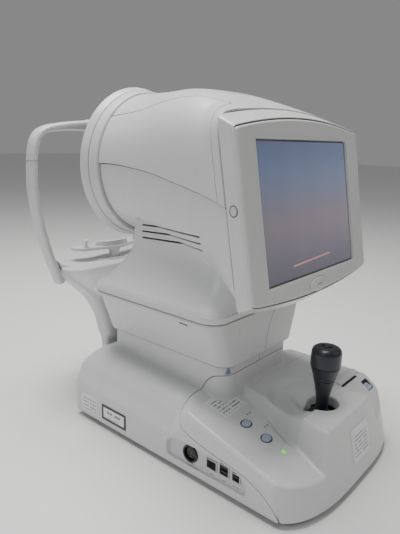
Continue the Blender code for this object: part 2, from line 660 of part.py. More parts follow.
def make_disc():
    centre = (0.0, 0.0, AXIS_Z)
    back = (0, 1, 0)
    front_ring = [(DRUM_RADIUS - 4, DISC_FRONT + GAP), (DRUM_RADIUS + 2, DISC_FRONT + GAP),
                  (DISC_RADIUS - 8.3, DISC_FRONT + 1.5), (DISC_RADIUS - 4.8, DISC_JOINT - GAP),
                  (DRUM_RADIUS - 4, DISC_JOINT - GAP)]
    turned("disc_inner_ring", front_ring, centre, back, "shell_white", 36)
    face_ring = [(84, DISC_JOINT), (DISC_RADIUS - 4.5, DISC_JOINT), (DISC_RADIUS - 0.8, DISC_JOINT + 4),
                 (DISC_RADIUS, DISC_REAR - 2), (DISC_RADIUS - 2, DISC_REAR), (90, DISC_REAR),
                 (84, DISC_REAR - 3)]
    turned("disc_face_ring", face_ring, centre, back, "shell_white", 36)
    cone = [(83.5, DISC_REAR - 4), (62, DISC_REAR - 8.5), (40, DISC_REAR - 14), (24, DISC_REAR - 21),
            (24, DISC_REAR - 24), (41, DISC_REAR - 17), (63, DISC_REAR - 11), (83.5, DISC_REAR - 7)]
    turned("ring_target_cone", cone, centre, back, "cone_black", 32)
    lens = [(0, DISC_REAR - 30), (18.7, DISC_REAR - 28.5), (18.7, DISC_REAR - 24), (10, DISC_REAR - 22.4),
            (0, DISC_REAR - 22)]
    turned("objective_lens", lens, centre, back, "lens_glass", 24)
    unit = box("wavefront_unit", (-42, -56, 326.3), (42, 42, 404), "black_plastic")
    combine(unit, box("camera", (-20, -78, 350), (20, -50, 388), "alloy"), "UNION")
    combine(unit, rod("barrel", (0, 40, AXIS_Z), (0, DISC_REAR - 20.5, AXIS_Z), 23.5, "alloy", 24), "UNION")
    combine(unit, hole("bore", (0, DISC_REAR, AXIS_Z), (0, 1, 0), 19, 70, 24))


def make_display():
    """Display case, bezel, screen and print button, built upright and then leaned back."""
    lean = Matrix.Rotation(-TILT, 3, "X")

    def leaned(obj):
        inverse = obj.location / MM
        for vert in obj.data.vertices:
            local = vert.co / MM + inverse
            vert.co = lean @ local * MM
        obj.location = SCREEN_CENTRE * MM
        return obj

    def outline(depth, inset):
        """Front view of the display at a depth behind its face: bowed above and below."""
        share = depth / DISPLAY_DEPTH
        half = DISPLAY_HALF - DISPLAY_TAPER * share - inset
        top = 103.4 + 15.6 * share - inset
        low = -102.0 - 14.3 * share + inset
        rise = 7.0 + 5.6 * share
        points = [(x, top - 12.0 * (x / 134) ** 2) for x in (110, 60, 20, -20, -60, -110)]
        points += [(-half + 4, top - 12.5), (-half, top - 18)]
        points += [(-half, low + rise + 11), (-half + 4, low + rise + 3)]
        points += [(x, low + rise * (x / 122) ** 2) for x in (-118, -70, -25, 25, 70, 118)]
        points += [(half - 4, low + rise + 3), (half, low + rise + 11)]
        points += [(half, top - 18), (half - 4, top - 12.5)]
        return points

    def plate(name, rows, finish):
        rings = [[(x, depth, z) for x, z in outline(depth, inset)] for depth, inset in rows]
        return add_object(name, loft(rings), finish)

    case = plate("display_case", ((DISPLAY_DEPTH, 0), (BEZEL_DEPTH + GAP, 0)), "shell_white")
    combine(case, plate("hollow", ((DISPLAY_DEPTH + 9, SHELL), (BEZEL_DEPTH + 3, SHELL)), "shell_white"))
    combine(case, box("window", (-106.5, -20, -80), (106.5, 20, 80), "shell_white"))
    bezel = plate("display_bezel", ((BEZEL_DEPTH, 0), (3.0, 0.2), (0.6, 1.0), (0.0, 3.0)), "bezel_grey")
    window = (SCREEN_WIDTH / 2 + GAP, SCREEN_HEIGHT / 2 + GAP)
    combine(bezel, box("window", (-window[0], -9, -window[1]), (window[0], 20, window[1]), "bezel_grey"))
    oval = hole("bore", (0, 0, -93), (0, 1, 0), 1.0, 40, 28)
    for vert in oval.data.vertices:
        vert.co.x *= 21.3
        vert.co.z *= 8.8
    combine(bezel, oval)
    screen = box("lcd_panel", (-SCREEN_WIDTH / 2, 3.2, -SCREEN_HEIGHT / 2),
                 (SCREEN_WIDTH / 2, BEZEL_DEPTH + 0.8, SCREEN_HEIGHT / 2), "screen_glass")
    button = turned("print_button", [(0, -1.6), (0.8, -1.4), (0.94, -0.9), (1, 0), (1, 6.4), (0, 6.4)],
                    (0, 0, -93), (0, 1, 0), "bezel_grey", 28)
    for vert in button.data.vertices:
        vert.co.x *= 21.0
        vert.co.z *= 8.5
    cap_profile = [(0, 0), (5.4, 0), (5.4, 5), (0, 5)]
    cap = turned("screw_cap", cap_profile, (-136.8, 16.0, 8.0), (1, 0, 0), "shell_white", 20)
    combine(case, cap, "UNION")
    for obj in (case, bezel, screen, button):
        leaned(obj)


# ---- patient side ---------------------------------------------------------------------------
def arch_path():
    """Centre line of the right half of the forehead arch, in X and Z, from its foot to its crown."""
    return [(106.5, 184), (113, 202), (121, 222), (129, 246), (138.5, 284), (145, 325), (145.5, 350),
            (143.5, 378), (139.5, 398), (131, 411), (117, 417), (84, 421), (43, 423), (0, 424)]


def make_arch():
    right = arch_path()
    path = right + [(-x, z) for x, z in reversed(right[:-1])]
    rings = []
    for i, (x, z) in enumerate(path):
        before = Vector(path[max(0, i - 1)])
        after = Vector(path[min(len(path) - 1, i + 1)])
        along = (after - before).normalized()
        across = Vector((along.y, -along.x))
        crown = 1.0 - min(1.0, abs(x) / 120.0)
        half = ARCH_WIDTH / 2 + 5.0 * crown
        deep = ARCH_DEPTH / 2 - 3.0 * crown
        ring = []
        for u, v in rounded_rect(-half, half, -deep, deep, 3.5, 2):
            spot = Vector((x, z)) + across * u
            ring.append((spot.x, ARCH_Y + v, spot.y))
        rings.append(ring)
    add_object("forehead_arch", loft(rings), "shell_white")
    pad = []
    for x in (-46, -40, 0, 40, 46):
        thick = 5.0 if abs(x) < 45 else 2.0
        rise = 424 - 0.0006 * x * x
        low = ARCH_Y + ARCH_DEPTH / 2 - 3.0 + 1.2
        pad.append([(x, low, rise - 9), (x, low + thick, rise - 7), (x, low + thick, rise + 7),
                    (x, low, rise + 9)])
    add_object("forehead_pad", loft(pad), "pad_white")


def make_chin_rest():
    rows = ((58, 78, 138.5, 150, 4), (99.5, 79, 138.5, 154, 5), (101.5, 80, 132, 158, 6),
            (138, 83, 140, 168, 8),
            (165, 91, 146, 184, 10), (178, 97, 152, 206, 14), (188, 104, 160, 226, 22),
            (200, 109, 170, 246, 30), (PLATFORM_TOP, 109, 178, 250, 30))
    rings = []
    for z, half, front, rear, radius in rows:
        rings.append([(x, y, z) for x, y in rounded_rect(-half, half, front, rear, radius, 3)])
    support = add_object("chin_rest_support", loft(rings), "shell_white")
    for sign in (-1, 1):
        corners = ((111.2, 218), (106, 203.6), (98.8, 180), (140, 176), (140, 218))
        notch = [(sign * x, z) for x, z in corners]
        combine(support, front_slab("notch", notch, ARCH_Y - 11.5, ARCH_Y + 11.5, "shell_white"))
    boss = rod("boss", (0, CHIN_Y - 8, 148), (0, CHIN_Y - 8, 200), 13.0, "shell_white", 24)
    combine(support, boss, "UNION")
    combine(support, hole("bore", (0, CHIN_Y - 8, 190), (0, 0, 1), 8.8, 100, 24))
    stem = [(0, 150), (8.5, 150), (8.5, 227.5), (0, 227.5)]
    turned("chin_stem", stem, (0, CHIN_Y - 8, 0), (0, 0, 1), "pin_white", 24)
    plate = slab("chin_rest_plate", rounded_rect(-70, 70, CHIN_Y - 22, CHIN_Y + 22, 20, 6), 227.8, 232,
                 "pin_white")
    wall = slab("wall", rounded_rect(-34, 34, CHIN_Y - 22, CHIN_Y + 14, 12, 4), 230, 241, "pin_white")
    combine(plate, wall, "UNION")
    cup = [(0, 234.5), (22, 235.5), (30, 246), (0, 246)]
    bowl = turned("bowl", cup, (0, CHIN_Y + 10, 0), (0, 0, 1), "pin_white", 24)
    combine(plate, bowl)
    for side, x in (("left", -52), ("right", 52)):
        combine(plate, hole("bore", (x, CHIN_Y, 230), (0, 0, 1), 2.3, 20, 12))
        pin = [(0, 224), (2.0, 224), (2.0, 241), (5.5, 241.8), (5.5, 244), (0, 244.6)]
        turned(f"tissue_pin_{side}", pin, (x, CHIN_Y, 0), (0, 0, 1), "pin_white", 16)


def main():
    clear_scene()
    make_base()
    make_lift()
    make_cross_slides()
    make_head_covers()
    make_disc()
    make_display()
    make_arch()
    make_chin_rest()


main()
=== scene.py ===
"""Looks of a table-top eye refraction and corneal analyser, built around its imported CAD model.

Lengths in the drawing functions are millimetres, in the frame of the CAD model: +Z up, the
operator at -Y and the patient at +Y. place() turns them into metres. The properties are metres.
"""
import math

import bmesh
import bpy
import numpy as np
from bpy.props import FloatProperty, FloatVectorProperty, IntProperty, PointerProperty
from bpy.types import Operator, Panel, PropertyGroup
from mathutils import Matrix, Vector


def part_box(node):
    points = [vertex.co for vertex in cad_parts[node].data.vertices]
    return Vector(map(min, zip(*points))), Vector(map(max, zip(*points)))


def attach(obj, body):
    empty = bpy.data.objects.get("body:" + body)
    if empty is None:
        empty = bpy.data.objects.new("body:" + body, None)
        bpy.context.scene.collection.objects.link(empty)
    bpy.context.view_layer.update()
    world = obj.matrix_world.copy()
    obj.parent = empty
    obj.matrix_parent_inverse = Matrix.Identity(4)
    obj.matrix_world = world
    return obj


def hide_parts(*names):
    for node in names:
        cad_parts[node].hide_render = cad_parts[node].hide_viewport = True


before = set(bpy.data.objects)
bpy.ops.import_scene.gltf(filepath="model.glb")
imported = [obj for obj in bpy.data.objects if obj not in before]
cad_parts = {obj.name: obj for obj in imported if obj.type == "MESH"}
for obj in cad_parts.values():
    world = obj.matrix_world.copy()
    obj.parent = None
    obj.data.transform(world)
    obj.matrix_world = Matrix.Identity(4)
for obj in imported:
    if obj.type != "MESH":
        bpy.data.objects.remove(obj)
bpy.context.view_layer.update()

bl_info = {
    "name": "Eye Refraction Analyser",
    "version": (1, 0, 0),
    "blender": (4, 5, 0),
    "location": "View3D > Sidebar > Refraction",
    "description": "Builds a table-top eye refraction analyser: covers, controls, display and chin rest",
    "category": "Object",
}

MM = 0.001                      # metres in a millimetre
SEAM = 0.75                     # half the width of the joint line between two covers
UP = (0, 0, 1)
TO_PATIENT = (0, 1, 0)
TO_RIGHT = (1, 0, 0)


def box_of(node):
    """Low and high corner of a CAD node, in millimetres."""
    return [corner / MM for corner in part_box(node)]


BASE = box_of("rear_base_cover")
DECK = box_of("deck_cover")
LID = box_of("printer_door")
SKIRT = box_of("lift_skirt")
FACE_RING = box_of("disc_face_ring")
INNER_RING = box_of("disc_inner_ring")
GRIP = box_of("joystick_grip")
ARCH = box_of("forehead_arch")
STEM = box_of("chin_stem")
BASE_HALF = BASE[1].x
BASE_REAR = BASE[1].y
BASE_BOTTOM = BASE[0].z
BASE_FRONT = DECK[0].y
COLUMN_TOP = BASE[1].z
AXIS_Z = (FACE_RING[0].z + FACE_RING[1].z) / 2
STICK_X = (GRIP[0].x + GRIP[1].x) / 2
STICK_Y = (GRIP[0].y + GRIP[1].y) / 2
STICK_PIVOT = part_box("joystick_gimbal")[0].z / MM + 2.5


# ---- sizes and colours a user would change -------------------------------------------------------
def length(name, text, default, low=0.0, high=1.0):
    return FloatProperty(name=name, description=text, default=default, min=low, max=high,
                         unit="LENGTH", subtype="DISTANCE")


def colour(name, text, default):
    return FloatVectorProperty(name=name, description=text, default=default, size=3, min=0.0, max=1.0,
                               subtype="COLOR")


def share(name, text, default):
    return FloatProperty(name=name, description=text, default=default, min=0.0, max=1.0, subtype="FACTOR")


class StandSizes(PropertyGroup):
    column_half: length("Column half width", "Half the width of the column under the head", 0.079)
    column_front: length("Column front", "Operator side of the column along Y", -0.092, -1.0)
    column_rear: length("Column rear", "Patient side of the column along Y", 0.126)
    well_radius: length("Well radius", "Radius of the hole that the joystick leans in", 0.0228)
    voxel: length("Cover cell", "Cell size that the stand's covers are melted with", 0.0017, 0.001, 0.01)


class HeadSizes(PropertyGroup):
    disc_rim: length("Face ring rim", "How far the face ring's edge is rounded", 0.002)
    panel_line: length("Panel line", "X of the joint between the roof and a side panel", 0.076)
    vent_count: IntProperty(name="Vents", description="Vent slots in each side of the neck", default=3, min=0)
    voxel: length("Cover cell", "Cell size that the head's lower cover is melted with", 0.0018, 0.001, 0.01)


class DisplaySizes(PropertyGroup):
    tilt: FloatProperty(name="Tilt", description="How far the screen leans back", default=math.radians(10.4),
                        unit="ROTATION", subtype="ANGLE")
    width: length("Screen width", "Width of the lit area", 0.2112)
    height: length("Screen height", "Height of the lit area", 0.1584)
    half: length("Display half width", "Half the width of the display at its front", 0.1395)
    depth: length("Display depth", "Depth of the case in front of the head", 0.027)
    edge: length("Bezel edge", "Radius of the bezel's outer edge", 0.0028)


class PatientSizes(PropertyGroup):
    arch_width: length("Arch thickness", "Thickness of the forehead arch seen from the front", 0.010)
    arch_depth: length("Arch depth", "Depth of the forehead arch along Y", 0.022)
    plate_top: length("Chin plate height", "Height of the chin plate above the table", 0.232)
    pin_space: length("Tissue pin spacing", "Distance between the two paper pins", 0.104)


class FinishColours(PropertyGroup):
    shell: colour("Shell", "Satin moulded covers", (0.645, 0.65, 0.645))
    bezel: colour("Bezel", "Frame around the screen", (0.60, 0.605, 0.595))
    keys: colour("Keys", "Push buttons and the column mark", (0.36, 0.41, 0.56))
    screen_top: colour("Screen top", "Upper part of the lit screen", (0.20, 0.26, 0.42))
    screen_low: colour("Screen bottom", "Lower part of the lit screen", (0.27, 0.25, 0.31))
    grain: share("Grain", "Strength of the moulded texture", 0.10)
    floor: colour("Floor", "Studio floor and background", (0.80, 0.80, 0.79))


# ---- tools: numbers ------------------------------------------------------------------------------
def eased(table, at):
    """Read a smooth curve, without overshoot, through a short table of (place, value) rows."""
    rows = np.array(sorted(table), float)
    place_at, value = rows[:, 0], rows[:, 1]
    rise = np.diff(value) / np.diff(place_at)
    both = rise[:-1] * rise[1:]
    total = rise[:-1] + rise[1:]
    inner = np.where(both > 0, 2 * both / np.where(np.abs(total) < 1e-9, 1.0, total), 0.0)
    slope = np.concatenate([rise[:1], inner, rise[-1:]])
    at = np.clip(np.asarray(at, float), place_at[0], place_at[-1])
    i = np.clip(np.searchsorted(place_at, at) - 1, 0, len(rows) - 2)
    wide = place_at[i + 1] - place_at[i]
    t = (at - place_at[i]) / wide
    return (value[i] * (1 + 2 * t) * (1 - t) ** 2 + slope[i] * wide * t * (1 - t) ** 2
            + value[i + 1] * t * t * (3 - 2 * t) - slope[i + 1] * wide * t * t * (1 - t))


def lower_of(a, b, soft):
    """The lower of two heights, with a soft corner where they cross."""
    h = np.clip(0.5 + 0.5 * (b - a) / soft, 0, 1)
    return b + (a - b) * h - soft * h * (1 - h)


def upper_of(a, b, soft):
    return -lower_of(-a, -b, soft)


def ramp(at, start, stop):
    """0 before start and 1 after stop, smooth between."""
    t = np.clip((np.asarray(at, float) - start) / (stop - start), 0, 1)
    return t * t * (3 - 2 * t)


def inside(polygon, u, v):
    """Signed distance to the edge of a polygon: positive inside."""
    points = np.array(polygon, float)
    nearest = np.full(len(u), 1e9)
    within = np.zeros(len(u), bool)
    for (ax, ay), (bx, by) in zip(points, np.roll(points, -1, 0)):
        run = np.array((bx - ax, by - ay))
        t = np.clip(((u - ax) * run[0] + (v - ay) * run[1]) / max(run @ run, 1e-9), 0, 1)
        nearest = np.minimum(nearest, np.hypot(u - ax - t * run[0], v - ay - t * run[1]))
        crosses = ((ay > v) != (by > v)) & (u < (bx - ax) * (v - ay) / (by - ay + 1e-12) + ax)
        within ^= crosses
    return np.where(within, nearest, -nearest)


def softened(points, radius, steps=4, closed=True):
    """Round the corners of a polyline of 2-D or 3-D points."""
    places = [np.array(point, float) for point in points]
    made = []
    count = len(places)
    for i, corner in enumerate(places):
        if not closed and i in (0, count - 1):
            made.append(tuple(corner))
            continue
        back = places[i - 1] - corner
        ahead = places[(i + 1) % count] - corner
        reach = min(radius, 0.48 * np.linalg.norm(back), 0.48 * np.linalg.norm(ahead))
        if reach < 1e-6:
            made.append(tuple(corner))
            continue
        start = corner + back / np.linalg.norm(back) * reach
        stop = corner + ahead / np.linalg.norm(ahead) * reach
        for k in range(steps + 1):
            t = k / steps
            made.append(tuple(start * (1 - t) ** 2 + corner * 2 * t * (1 - t) + stop * t * t))
    return made


def rounded_box(x0, x1, y0, y1, radius, steps=8):
    """Outline of a rectangle with round corners, evenly stepped."""
    points = []
    for x, y, start in ((x1, y1, 0), (x0, y1, 90), (x0, y0, 180), (x1, y0, 270)):
        cx = x - radius if x == x1 else x + radius
        cy = y - radius if y == y1 else y + radius
        for k in range(steps + 1):
            angle = math.radians(start + 90 * k / steps)
            points.append((cx + radius * math.cos(angle), cy + radius * math.sin(angle)))
    return points


def evenly(points, count, closed=True):
    """Resample a polyline to a number of points at even spacing."""
    line = np.array(list(points) + ([points[0]] if closed else []), float)
    gone = np.concatenate([[0], np.cumsum(np.linalg.norm(np.diff(line, axis=0), axis=1))])
    at = np.linspace(0, gone[-1], count + 1)[:-1] if closed else np.linspace(0, gone[-1], count)
    return np.stack([np.interp(at, gone, line[:, k]) for k in range(line.shape[1])], 1)


# ---- tools: meshes -------------------------------------------------------------------------------
def skin(rows, around=True, caps=True):
    """Skin rows of equally many points into a bmesh, closed around and capped when asked."""
    bm = bmesh.new()
    made = [[bm.verts.new(tuple(point)) for point in row] for row in rows]
    count = len(made[0])
    for low, high in zip(made, made[1:]):
        for i in range(count if around else count - 1):
            j = (i + 1) % count
            bm.faces.new((low[i], low[j], high[j], high[i]))
    if caps:
        bm.faces.new(reversed(made[0]))
        bm.faces.new(made[-1])
    return bm


def drawn_in(outline, low, high, inset):
    """Shrink an outline about the middle of its box, by inset at its widest places."""
    centre, reach = (low + high) / 2, (high - low) / 2
    keep_x, keep_y = 1 - inset / reach.x, 1 - inset / reach.y
    return [(centre.x + (x - centre.x) * keep_x, centre.y + (y - centre.y) * keep_y) for x, y in outline]


def hoop(rows):
    """Skin rows of points into a ring whose last row meets the first."""
    bm = skin(list(rows) + [rows[0]], caps=False)
    bmesh.ops.remove_doubles(bm, verts=bm.verts, dist=0.001)
    return bm


def lathe(profile, foot, axis, segments=64):
    """Turn a profile of (radius, height) about an axis through foot; a radius of 0 is a pole."""
    turn = Vector((0.0, 0.0, 1.0)).rotation_difference(Vector(axis)).to_matrix()
    bm = bmesh.new()
    rows = []
    for radius, height in profile:
        row = []
        for i in range(segments if radius > 1e-6 else 1):
            angle = 2 * math.pi * i / segments
            local = Vector((radius * math.cos(angle), radius * math.sin(angle), height))
            row.append(bm.verts.new(turn @ local + Vector(foot)))
        rows.append(row)
    pairs = list(zip(rows, rows[1:]))
    if profile[0][0] > 1e-6:
        pairs.append((rows[-1], rows[0]))
    for low, high in pairs:
        for i in range(segments):
            j = (i + 1) % segments
            ring = (low[i % len(low)], low[j % len(low)], high[j % len(high)], high[i % len(high)])
            corners = list(dict.fromkeys(ring))
            if len(corners) > 2:
                bm.faces.new(corners)
    bmesh.ops.recalc_face_normals(bm, faces=bm.faces)
    return bm


def plate(outline, low, high, axis="Z", edge=0.4, steps=3):
    """A flat closed plate with rounded edges: an outline extruded along an axis from low to high."""
    flat = np.array(outline, float)
    middle = flat.mean(0)
    size = np.abs(flat - middle).max(0)
    rows = []
    turns = [k * math.pi / 2 / steps for k in range(steps + 1)]
    for level, sign, angles in ((low, 1, turns), (high, -1, turns[::-1])):
        for angle in angles:
            shrink = edge * (1 - math.sin(angle))
            ring = middle + (flat - middle) * (1 - shrink / size)
            lift = level + sign * edge * (1 - math.cos(angle))
            rows.append([(u, v, lift) for u, v in ring])
    order = {"Z": (0, 1, 2), "Y": (0, 2, 1), "X": (2, 0, 1)}[axis]
    rows = [[tuple(point[k] for k in order) for point in row] for row in rows]
    bm = skin(rows)
    bmesh.ops.recalc_face_normals(bm, faces=bm.faces)
    return bm


def sweep(path, section, up):
    """Carry a closed section of (u, v) along a smooth path of points; u lies across, v along up."""
    line = np.array(path, float)
    rows = []
    for i, point in enumerate(line):
        along = line[min(i + 1, len(line) - 1)] - line[max(i - 1, 0)]
        along /= np.linalg.norm(along)
        across = np.cross(along, up)
        across /= np.linalg.norm(across)
        rise = np.cross(across, along)
        shape = section(i / (len(line) - 1)) if callable(section) else section
        rows.append([tuple(point + across * u + rise * v) for u, v in shape])
    bm = skin(rows)
    bmesh.ops.recalc_face_normals(bm, faces=bm.faces)
    return bm


def raw_object(bm, name="drawing"):
    mesh = bpy.data.meshes.new(name)
    bm.to_mesh(mesh)
    bm.free()
    obj = bpy.data.objects.new(name, mesh)
    bpy.context.scene.collection.objects.link(obj)
    return obj


def evaluated_mesh(obj):
    """Apply an object's modifiers, and give its mesh as a bmesh; the object is used up."""
    bpy.context.view_layer.update()
    mesh = bpy.data.meshes.new_from_object(obj.evaluated_get(bpy.context.evaluated_depsgraph_get()))
    bpy.data.objects.remove(obj)
    bm = bmesh.new()
    bm.from_mesh(mesh)
    bpy.data.meshes.remove(mesh)
    return bm


def melted(parts, cell, rounds):
    """Melt overlapping closed drawings into one skin with soft inner corners."""
    whole = bmesh.new()
    for part in parts:
        bmesh.ops.recalc_face_normals(part, faces=part.faces)
        mesh = bpy.data.meshes.new("part")
        part.to_mesh(mesh)
        part.free()
        whole.from_mesh(mesh)
        bpy.data.meshes.remove(mesh)
    obj = raw_object(whole)
    remesh = obj.modifiers.new("melt", "REMESH")
    remesh.mode = "VOXEL"
    remesh.voxel_size = cell
    smooth = obj.modifiers.new("soften", "SMOOTH")
    smooth.factor = 0.5
    smooth.iterations = rounds
    return evaluated_mesh(obj)


def trimmed(bm, level):
    """Keep the part of a skin where level(points) is positive, cut cleanly along its zero line."""
    layer = bm.verts.layers.float.new("level")
    bm.verts.ensure_lookup_table()
    reach = level(np.array([vert.co[:] for vert in bm.verts]))
    reach[np.abs(reach) < 0.02] = 0.0
    for vert, value in zip(bm.verts, reach):
        vert[layer] = value
    touched = set()
    for edge in [e for e in bm.edges if e.verts[0][layer] * e.verts[1][layer] < 0]:
        first, second = edge.verts
        part = first[layer] / (first[layer] - second[layer])
        made = bmesh.utils.edge_split(edge, first, part)[1]
        made[layer] = 0.0
        touched.update(made.link_faces)
    for face in touched:
        split_along(face, layer)
    gone = [face for face in bm.faces if sum(vert[layer] for vert in face.verts) <= 0]
    bmesh.ops.delete(bm, geom=gone, context="FACES")
    bm.verts.layers.float.remove(layer)
    return bm


def split_along(face, layer):
    """Cut one face between the points that lie on the zero line."""
    zeros = [vert for vert in face.verts if vert[layer] == 0.0]
    for first, second in zip(zeros, zeros[1:] + zeros[:1]):
        if first is second or first not in face.verts[:] or second not in face.verts[:]:
            continue
        if any(second in edge.verts for edge in first.link_edges):
            continue
        ring = face.verts[:]
        between = ring[ring.index(first) + 1:ring.index(second)]
        if between and all(vert[layer] < 0 for vert in between):
            bmesh.utils.face_split(face, first, second)
            return
    if len(zeros) == 2:
        first, second = zeros
        if not any(second in edge.verts for edge in first.link_edges):
            bmesh.utils.face_split(face, first, second)


def hemmed(bm, steps, where=None):
    """Turn a skin's open edges in: each step is (distance out past the edge, depth below the skin)."""
    bm.normal_update()
    ends = [edge for edge in bm.edges if edge.is_boundary]
    if where:
        ends = [edge for edge in ends if where((edge.verts[0].co + edge.verts[1].co) / 2)]
    out = {}
    for edge in ends:
        loop = edge.link_loops[0]
        run = (loop.link_loop_next.vert.co - loop.vert.co).normalized()
        away = run.cross(edge.link_faces[0].normal)
        for vert in edge.verts:
            out[vert] = out.get(vert, Vector()) + away
    flow = [(edge.link_loops[0].vert, edge.link_loops[0].link_loop_next.vert) for edge in ends]
    before = {vert: vert for vert in out}
    for past, deep in steps:
        row = {}
        for vert, away in out.items():
            row[vert] = bm.verts.new(vert.co + away.normalized() * past - vert.normal * deep)
        for first, second in flow:
            bm.faces.new((before[second], before[first], row[first], row[second]))
        before = row
    return bm


SHARP = math.radians(40.0)      # edges sharper than this stay crisp in the shading
ROLLED = ((0.10, 0.04), (0.20, 0.25), (0.22, 0.7), (0.22, 2.4))


def place(name, bm, finish, body, stands_for=(), facing=False):
    """Turn a drawing in millimetres into a finished piece in metres that rides on a body.

    Its material slot holds the finish of that name.
    """
    if facing:
        bmesh.ops.recalc_face_normals(bm, faces=bm.faces)
    bmesh.ops.scale(bm, verts=bm.verts, vec=(MM, MM, MM))
    mesh = bpy.data.meshes.new(name)
    bm.to_mesh(mesh)
    bm.free()
    mesh.materials.append(named(finish))
    mesh.shade_smooth()
    mesh.set_sharp_from_angle(angle=SHARP)
    piece = bpy.data.objects.new(name, mesh)
    bpy.context.scene.collection.objects.link(piece)
    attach(piece, body)
    if stands_for:
        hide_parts(*stands_for)
    return piece


def joined(*parts):
    """Several closed drawings as one drawing, such as the pins of a socket."""
    whole = bmesh.new()
    for part in parts:
        mesh = bpy.data.meshes.new("part")
        part.to_mesh(mesh)
        part.free()
        whole.from_mesh(mesh)
        bpy.data.meshes.remove(mesh)
    return whole


# ---- finishes ------------------------------------------------------------------------------------
class Nodes:
    """A short way to write a material's nodes."""

    def __init__(self, name):
        self.material = bpy.data.materials.new(name)
        self.material.use_nodes = True
        self.tree = self.material.node_tree
        self.shader = self.tree.nodes["Principled BSDF"]

    def add(self, kind, inputs=None, **settings):
        node = self.tree.nodes.new(kind)
        for key, value in settings.items():
            setattr(node, key, value)
        for key, value in (inputs or {}).items():
            if isinstance(value, bpy.types.NodeSocket):
                self.tree.links.new(value, node.inputs[key])
            else:
                node.inputs[key].default_value = value
        return node

    def math(self, operation, first, second=0.5, third=0.0):
        node = self.add("ShaderNodeMath", {0: first, 1: second, 2: third}, operation=operation)
        return node.outputs[0]

    def noise(self, coordinates, scale, detail=3.0, roughness=0.55):
        return self.add("ShaderNodeTexNoise", {"Vector": coordinates, "Scale": scale, "Detail": detail,
                                               "Roughness": roughness}).outputs["Fac"]

    def between(self, fac, low, high):
        node = self.add("ShaderNodeMapRange", {"Value": fac, "To Min": low, "To Max": high,
                                               "From Min": 0.3, "From Max": 0.7})
        return node.outputs["Result"]

    def mix(self, fac, first, second):
        """Blend two colours; each is a colour or another node's output."""
        ends = {key: (*value, 1.0) if isinstance(value, tuple) else value
                for key, value in (("A", first), ("B", second))}
        return self.add("ShaderNodeMix", {"Factor": fac, **ends}, data_type="RGBA").outputs["Result"]

    def wire(self, socket, value):
        self.tree.links.new(value, self.shader.inputs[socket])

    def bump(self, height, strength, distance):
        node = self.add("ShaderNodeBump", {"Height": height, "Strength": strength, "Distance": distance})
        self.wire("Normal", node.outputs["Normal"])

    def local(self):
        return self.add("ShaderNodeTexCoord").outputs["Object"]

    def flat(self):
        return self.add("ShaderNodeUVMap").outputs["UV"]


FINISHES = {}


def tinted(tint, gain):
    return tuple(min(1.0, value * gain) for value in tint)


def moulded(name, tint, rough, grain=0.10, grain_size=2600.0, coat=0.0, soil=0.03, metallic=0.0):
    """Moulded plastic or rubber: fine spark texture, faint cloudiness and uneven gloss."""
    n = Nodes(name)
    where = n.local()
    cloud = n.noise(where, 9.0, 4.0)
    speck = n.noise(where, grain_size, 2.0)
    scuff = n.noise(where, 55.0, 6.0, 0.7)
    fac = n.between(n.math("ADD", n.math("MULTIPLY", cloud, 0.75), n.math("MULTIPLY", scuff, 0.25)), 0.0, 1.0)
    n.wire("Base Color", n.mix(fac, tinted(tint, 1.0 - soil), tinted(tint, 1.0 + soil)))
    n.wire("Roughness", n.between(scuff, max(0.03, rough - 0.05), rough + 0.06))
    n.bump(speck, grain, 0.0002)
    n.shader.inputs["Metallic"].default_value = metallic
    n.shader.inputs["Coat Weight"].default_value = coat
    n.shader.inputs["Coat Roughness"].default_value = 0.25
    FINISHES[name] = n.material
    return n.material


def metal(name, tint, rough, stretch, mottled=0.0):
    """Ground, drawn or cast metal with its direction of work."""
    n = Nodes(name)
    where = n.add("ShaderNodeMapping", {"Vector": n.local(), "Scale": stretch}).outputs["Vector"]
    lines = n.noise(where, 900.0, 4.0, 0.65)
    stain = n.noise(n.local(), 40.0, 3.0)
    n.wire("Base Color", n.mix(n.between(stain, 0.0, 1.0), tinted(tint, 0.90 - mottled), tinted(tint, 1.06)))
    n.wire("Roughness", n.between(lines, rough - 0.08, rough + 0.12))
    n.bump(lines, 0.18, 0.0002)
    n.shader.inputs["Metallic"].default_value = 1.0
    FINISHES[name] = n.material
    return n.material


